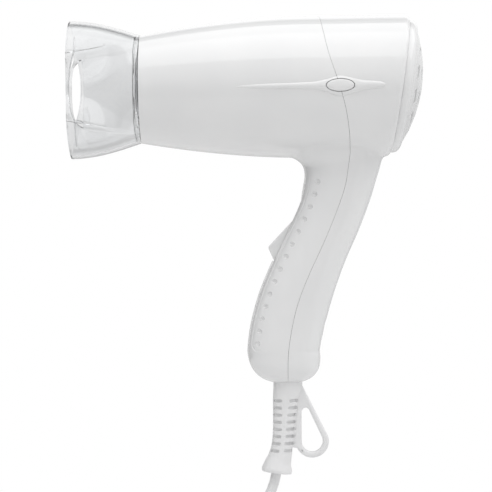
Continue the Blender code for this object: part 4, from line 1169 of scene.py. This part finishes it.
def build_cord(sheath):
    path = smooth_path(cord_route(), 2)
    curve = bpy.data.curves.new("mains_cord", "CURVE")
    curve.dimensions = "3D"
    curve.bevel_depth = CORD_DIAMETER / 2
    curve.bevel_resolution = 5
    curve.use_fill_caps = True
    spline = curve.splines.new("POLY")
    spline.points.add(len(path) - 1)
    for spot, point in zip(spline.points, path):
        spot.co = (*point, 1.0)
    spline.use_smooth = True
    cord = link_object("mains_cord", curve)
    settle(cord, sheath, "dryer", "cord_white", "power_cord", "cord_coil", "cord_tail")
    return cord, path_length(path)


def build_tie(rubber):
    """A soft band round the coil's turns."""
    outwards = Vector((math.cos(TIE_ANGLE), 0, math.sin(TIE_ANGLE)))
    along = Vector((-outwards.z, 0, outwards.x))
    middle = COIL_CENTRE + outwards * COIL_MIDDLE_RADIUS
    sections = []
    sides = 64
    for corner in range(sides):
        angle = 2 * math.pi * corner / sides
        size = abs(math.cos(angle)) ** TIE_SQUARENESS + abs(math.sin(angle)) ** TIE_SQUARENESS
        ray = (outwards * math.cos(angle) + ACROSS * math.sin(angle)) * size ** (-1 / TIE_SQUARENESS)
        centre = middle + ray * TIE_REACH
        sections.append(circle(centre, along * TIE_HALF_WIDTH, ray * TIE_HALF_THICKNESS, 1, 12))
    tie = smooth(closed_sweep("coil_tie", sections))
    settle(tie, rubber, "dryer", "soft_white", "cord_tie")
    return tie


def build_plug(sheath):
    """A moulded two-blade plug with a waisted grip and a short flexible neck."""
    sleeve_end = PLUG_TOP_Z - PLUG_SLEEVE_LENGTH
    face = sleeve_end - PLUG_BODY_LENGTH
    stations = (
        (PLUG_TOP_Z, 0.0036, 0.0036, 2.0),
        (sleeve_end + 0.0010, 0.0045, 0.0045, 2.0),
        (sleeve_end - 0.0020, 0.0090, 0.0068, 2.8),
        (sleeve_end - 0.0090, 0.0112, 0.0082, 3.5),
        (sleeve_end - 0.0160, 0.0104, 0.0076, 3.5),
        (face + 0.0030, 0.0124, 0.0088, 3.5),
        (face + 0.0004, 0.0121, 0.0085, 3.5),
        (face, 0.0117, 0.0081, 3.5),
    )
    centre = coil_point(COIL_START_DEGREES + COIL_TOTAL_DEGREES)
    rings = []
    for z in np.concatenate([np.linspace(PLUG_TOP_Z, face + 0.0004, 70), [face]]):
        half_length, half_breadth, squareness = read_stations(stations, z)
        power = 2 / squareness
        ring = []
        for angle in np.linspace(0, 2 * math.pi, 56, endpoint=False):
            across, along = math.cos(angle), math.sin(angle)
            x = half_length * math.copysign(abs(across) ** power, across)
            y = half_breadth * math.copysign(abs(along) ** power, along)
            ring.append((centre.x + x, centre.y + y, z))
        rings.append(ring)
    plug = smooth(loft("mains_plug", rings), 50)
    settle(plug, sheath, "dryer", "cord_white", "plug_body")
    return plug


# ---------------------------------------------------------------- materials


def new_material(name):
    made = bpy.data.materials.new(name)
    made.use_nodes = True
    return made, made.node_tree, made.node_tree.nodes["Principled BSDF"]


def noise(tree, scale, detail=2.0, stretch=None):
    """Noise over the object's own space, so that it keeps its size on every piece."""
    where = tree.nodes.new("ShaderNodeTexCoord").outputs["Object"]
    if stretch is not None:
        mapping = tree.nodes.new("ShaderNodeMapping")
        mapping.inputs["Scale"].default_value = stretch
        tree.links.new(where, mapping.inputs["Vector"])
        where = mapping.outputs["Vector"]
    texture = tree.nodes.new("ShaderNodeTexNoise")
    texture.inputs["Scale"].default_value = scale
    texture.inputs["Detail"].default_value = detail
    tree.links.new(where, texture.inputs["Vector"])
    return texture.outputs["Fac"]


def calculate(tree, operation, first, second):
    """A Math node's result from two values, each another node's output or a number."""
    node = tree.nodes.new("ShaderNodeMath")
    node.operation = operation
    for socket, value in zip(node.inputs, (first, second)):
        if isinstance(value, float):
            socket.default_value = value
        else:
            tree.links.new(value, socket)
    return node.outputs["Value"]


def spread(tree, value, low, high):
    """A 0 to 1 value spread from low to high."""
    mapped = tree.nodes.new("ShaderNodeMapRange")
    mapped.inputs["To Min"].default_value = low
    mapped.inputs["To Max"].default_value = high
    tree.links.new(value, mapped.inputs["Value"])
    return mapped.outputs["Result"]


def tint(tree, value, low, high):
    """A 0 to 1 value turned into a colour between two."""
    ramp = tree.nodes.new("ShaderNodeValToRGB")
    ramp.color_ramp.elements[0].position = 0.35
    ramp.color_ramp.elements[1].position = 0.65
    ramp.color_ramp.elements[0].color = (*low, 1)
    ramp.color_ramp.elements[1].color = (*high, 1)
    tree.links.new(value, ramp.inputs["Fac"])
    return ramp.outputs["Color"]


def bump(tree, shader, height, strength, distance):
    node = tree.nodes.new("ShaderNodeBump")
    node.inputs["Strength"].default_value = strength
    node.inputs["Distance"].default_value = distance
    tree.links.new(height, node.inputs["Height"])
    tree.links.new(node.outputs["Normal"], shader.inputs["Normal"])


def moulded(name, low, high, rough_low, rough_high, grain=900.0, grain_depth=0.00002, grain_strength=0.1):
    """Moulded plastic or rubber: a faint unevenness of colour and gloss, and a fine skin texture."""
    made, tree, shader = new_material(name)
    tree.links.new(tint(tree, noise(tree, 35.0), low, high), shader.inputs["Base Color"])
    tree.links.new(spread(tree, noise(tree, 140.0, 4.0), rough_low, rough_high), shader.inputs["Roughness"])
    bump(tree, shader, noise(tree, grain, 3.0), grain_strength, grain_depth)
    return made


def gloss_white():
    """White gloss moulding with a faint flow ripple."""
    low, high = (0.800, 0.802, 0.805), (0.822, 0.823, 0.824)
    made = moulded("gloss_white", low, high, 0.06, 0.11, 260.0, 0.00001, 0.05)
    shader = made.node_tree.nodes["Principled BSDF"]
    shader.inputs["Coat Weight"].default_value = 0.5
    shader.inputs["Coat Roughness"].default_value = 0.02
    return made


def clear_plastic():
    """Clear polycarbonate, slightly hazy where it was moulded."""
    made, tree, shader = new_material("clear_polycarbonate")
    shader.inputs["Base Color"].default_value = (0.935, 0.94, 0.945, 1)
    shader.inputs["Transmission Weight"].default_value = 1.0
    shader.inputs["IOR"].default_value = 1.50
    tree.links.new(spread(tree, noise(tree, 60.0, 3.0), 0.0, 0.05), shader.inputs["Roughness"])
    bump(tree, shader, noise(tree, 90.0, 1.0), 0.05, 0.00006)
    return made


def metal(name, low, high, rough_low, rough_high, stretch=(1, 1, 1)):
    """Drawn or brushed metal, its scratches stretched along one way."""
    made, tree, shader = new_material(name)
    shader.inputs["Metallic"].default_value = 1.0
    grain = noise(tree, 700.0, 3.0, stretch)
    tree.links.new(tint(tree, grain, low, high), shader.inputs["Base Color"])
    tree.links.new(spread(tree, grain, rough_low, rough_high), shader.inputs["Roughness"])
    bump(tree, shader, grain, 0.15, 0.00003)
    return made


def filter_mesh():
    """A fine woven screen: dark openings between grey threads."""
    made, tree, shader = new_material("filter_mesh")
    where = tree.nodes.new("ShaderNodeTexCoord")
    threads = []
    for axis in ("Y", "Z"):
        wave = tree.nodes.new("ShaderNodeTexWave")
        wave.bands_direction = axis
        wave.inputs["Scale"].default_value = 260.0
        wave.inputs["Distortion"].default_value = 0.4
        tree.links.new(where.outputs["Object"], wave.inputs["Vector"])
        threads.append(wave.outputs["Fac"])
    weave = calculate(tree, "MAXIMUM", *threads)
    colour = tint(tree, weave, (0.02, 0.02, 0.022), (0.22, 0.22, 0.22))
    tree.links.new(colour, shader.inputs["Base Color"])
    shader.inputs["Roughness"].default_value = 0.6
    bump(tree, shader, weave, 0.6, 0.0002)
    return made


def dress(obj, material):
    obj.data.materials.clear()
    obj.data.materials.append(material)


def settle(piece, material, body, slot, *nodes):
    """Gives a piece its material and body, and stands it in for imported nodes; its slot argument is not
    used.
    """
    dress(piece, material)
    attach(piece, body)
    if nodes:
        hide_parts(*nodes)


# ---------------------------------------------------------------- studio


def build_world():
    """A white studio: bright backdrop and right side, and a dark gap round the backdrop.

    The camera sees plain white, and what shows through clear plastic is never quite black.
    """
    world = bpy.data.worlds.new("studio")
    bpy.context.scene.world = world
    world.use_nodes = True
    tree = world.node_tree
    where = tree.nodes.new("ShaderNodeTexCoord")
    way = tree.nodes.new("ShaderNodeSeparateXYZ")
    tree.links.new(where.outputs["Generated"], way.inputs["Vector"])
    depth = levels(tree, way.outputs["Y"], BACKDROP_LEVELS)
    right = levels(tree, way.outputs["X"], RIGHT_LEVELS)
    height = levels(tree, way.outputs["Z"], HEIGHT_LEVELS)
    lit = calculate(tree, "MULTIPLY", calculate(tree, "MAXIMUM", depth, right), height)
    path = tree.nodes.new("ShaderNodeLightPath")
    least = calculate(tree, "MULTIPLY", path.outputs["Is Transmission Ray"], LEAST_THROUGH_PLASTIC)
    seen = tree.nodes["Background"]
    tree.links.new(calculate(tree, "MAXIMUM", lit, least), seen.inputs["Color"])
    plain = tree.nodes.new("ShaderNodeBackground")
    plain.inputs["Color"].default_value = (1, 1, 1, 1)
    choose = tree.nodes.new("ShaderNodeMixShader")
    tree.links.new(path.outputs["Is Camera Ray"], choose.inputs["Fac"])
    tree.links.new(seen.outputs["Background"], choose.inputs[1])
    tree.links.new(plain.outputs["Background"], choose.inputs[2])
    tree.links.new(choose.outputs["Shader"], tree.nodes["World Output"].inputs["Surface"])


def levels(tree, direction, stops):
    """A brightness that follows one part of the direction, from (direction, level) stops."""
    ramp = tree.nodes.new("ShaderNodeValToRGB")
    while len(ramp.color_ramp.elements) < len(stops):
        ramp.color_ramp.elements.new(0.5)
    for element, (along, level) in zip(ramp.color_ramp.elements, stops):
        element.position = (along + 1) / 2
        element.color = (level, level, level, 1)
    half = tree.nodes.new("ShaderNodeMapRange")
    half.inputs["From Min"].default_value = -1.0
    tree.links.new(direction, half.inputs["Value"])
    tree.links.new(half.outputs["Result"], ramp.inputs["Fac"])
    return ramp.outputs["Color"]


def add_softbox(name, centre, target, size_x, size_y, power):
    light = bpy.data.lights.new(name, "AREA")
    light.shape = "RECTANGLE"
    light.size = size_x
    light.size_y = size_y
    light.energy = power
    obj = link_object(name, light)
    obj.location = centre
    obj.rotation_euler = (Vector(target) - Vector(centre)).to_track_quat("-Z", "Y").to_euler()
    obj.visible_camera = False


def build_studio():
    build_world()
    add_softbox("overhead_box", (-0.05, -0.22, 0.90), (-0.05, -0.22, 0.0), 2.4, 1.28, 10.0)
    disc = circle(Vector((0, 0, FLOOR_Z)), Vector((1, 0, 0)), ACROSS, FLOOR_RADIUS, 64)
    floor = make_object("floor", disc, [tuple(range(len(disc)))])
    dress(floor, moulded("pale_floor", (0.885, 0.885, 0.885), (0.90, 0.90, 0.90), 0.5, 0.6))


def build_camera():
    """Square on to the dryer's side, a metre away, rolled by under a degree."""
    camera = bpy.data.cameras.new("camera")
    camera.sensor_width = 36.0
    camera.lens = CAMERA_LENS
    obj = link_object("camera", camera)
    obj.location = CAMERA_PLACE
    level = Matrix.Rotation(math.radians(90), 4, "X")
    roll = Matrix.Rotation(CAMERA_ROLL, 4, "Z")
    obj.rotation_euler = (level @ roll).to_euler()
    bpy.context.scene.camera = obj
    bpy.context.scene.view_settings.view_transform = "Standard"


def dress_inside(white, steel, brass):
    """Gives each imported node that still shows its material."""
    dark, pale = (0.16, 0.16, 0.165), (0.21, 0.21, 0.215)
    heat_grey = moulded("heat_grey", dark, pale, 0.45, 0.6, 1200.0, 0.00004, 0.3)
    black = moulded("black_moulding", (0.022, 0.022, 0.024), (0.035, 0.035, 0.037), 0.35, 0.5)
    board = moulded("green_laminate", (0.03, 0.17, 0.07), (0.05, 0.22, 0.10), 0.4, 0.5)
    mica = moulded("mica_sheet", (0.55, 0.46, 0.32), (0.74, 0.65, 0.49), 0.35, 0.6, 500.0, 0.0001, 0.4)
    wire = metal("resistance_wire", (0.30, 0.28, 0.26), (0.44, 0.42, 0.40), 0.35, 0.55)
    looks = (
        (filter_mesh(), ("dust_filter",)),
        (heat_grey, ("outlet_grille", "motor_mount", "switch_body", "supply_leads")),
        (black, ("motor_end_cap", "fan", "switch_slider", "heater_leads")),
        (board, ("rectifier_board",)),
        (mica, ("mica_sleeve", "mica_board_upright", "mica_board_cross")),
        (steel, ("handle_screw", "side_screw_left", "side_screw_right")),
        (steel, ("clamp_screw_left", "clamp_screw_right", "thermostat", "motor_case", "motor_shaft")),
        (wire, ("heater_coil_front", "heater_coil_rear")),
        (brass, ("plug_blade_left", "plug_blade_right")),
        (white, ("thermal_fuse", "cord_clamp")),
    )
    for material, nodes in looks:
        for node in nodes:
            dress(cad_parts[node], material)


def main():
    build_camera()
    build_studio()
    white = gloss_white()
    low, high = (0.79, 0.79, 0.795), (0.83, 0.83, 0.832)
    rubber = moulded("soft_white_rubber", low, high, 0.38, 0.5, 1400.0, 0.00003, 0.2)
    low, high = (0.76, 0.76, 0.765), (0.80, 0.80, 0.802)
    sheath = moulded("white_sheath", low, high, 0.36, 0.48, 1500.0, 0.00003, 0.2)
    steel = metal("plated_steel", (0.48, 0.48, 0.49), (0.62, 0.62, 0.63), 0.22, 0.38)
    brass = metal("plated_brass", (0.62, 0.50, 0.26), (0.74, 0.62, 0.36), 0.20, 0.34, (1, 1, 0.08))
    build_housings(white)
    build_side_caps(white)
    build_rear_ring(white)
    build_inlet_grille(white)
    build_nozzle(clear_plastic())
    build_nozzle_ring(steel)
    build_switch(white)
    build_strain_relief(rubber)
    cord, length = build_cord(sheath)
    tie = build_tie(rubber)
    plug = build_plug(sheath)
    dress_inside(white, steel, brass)


main()
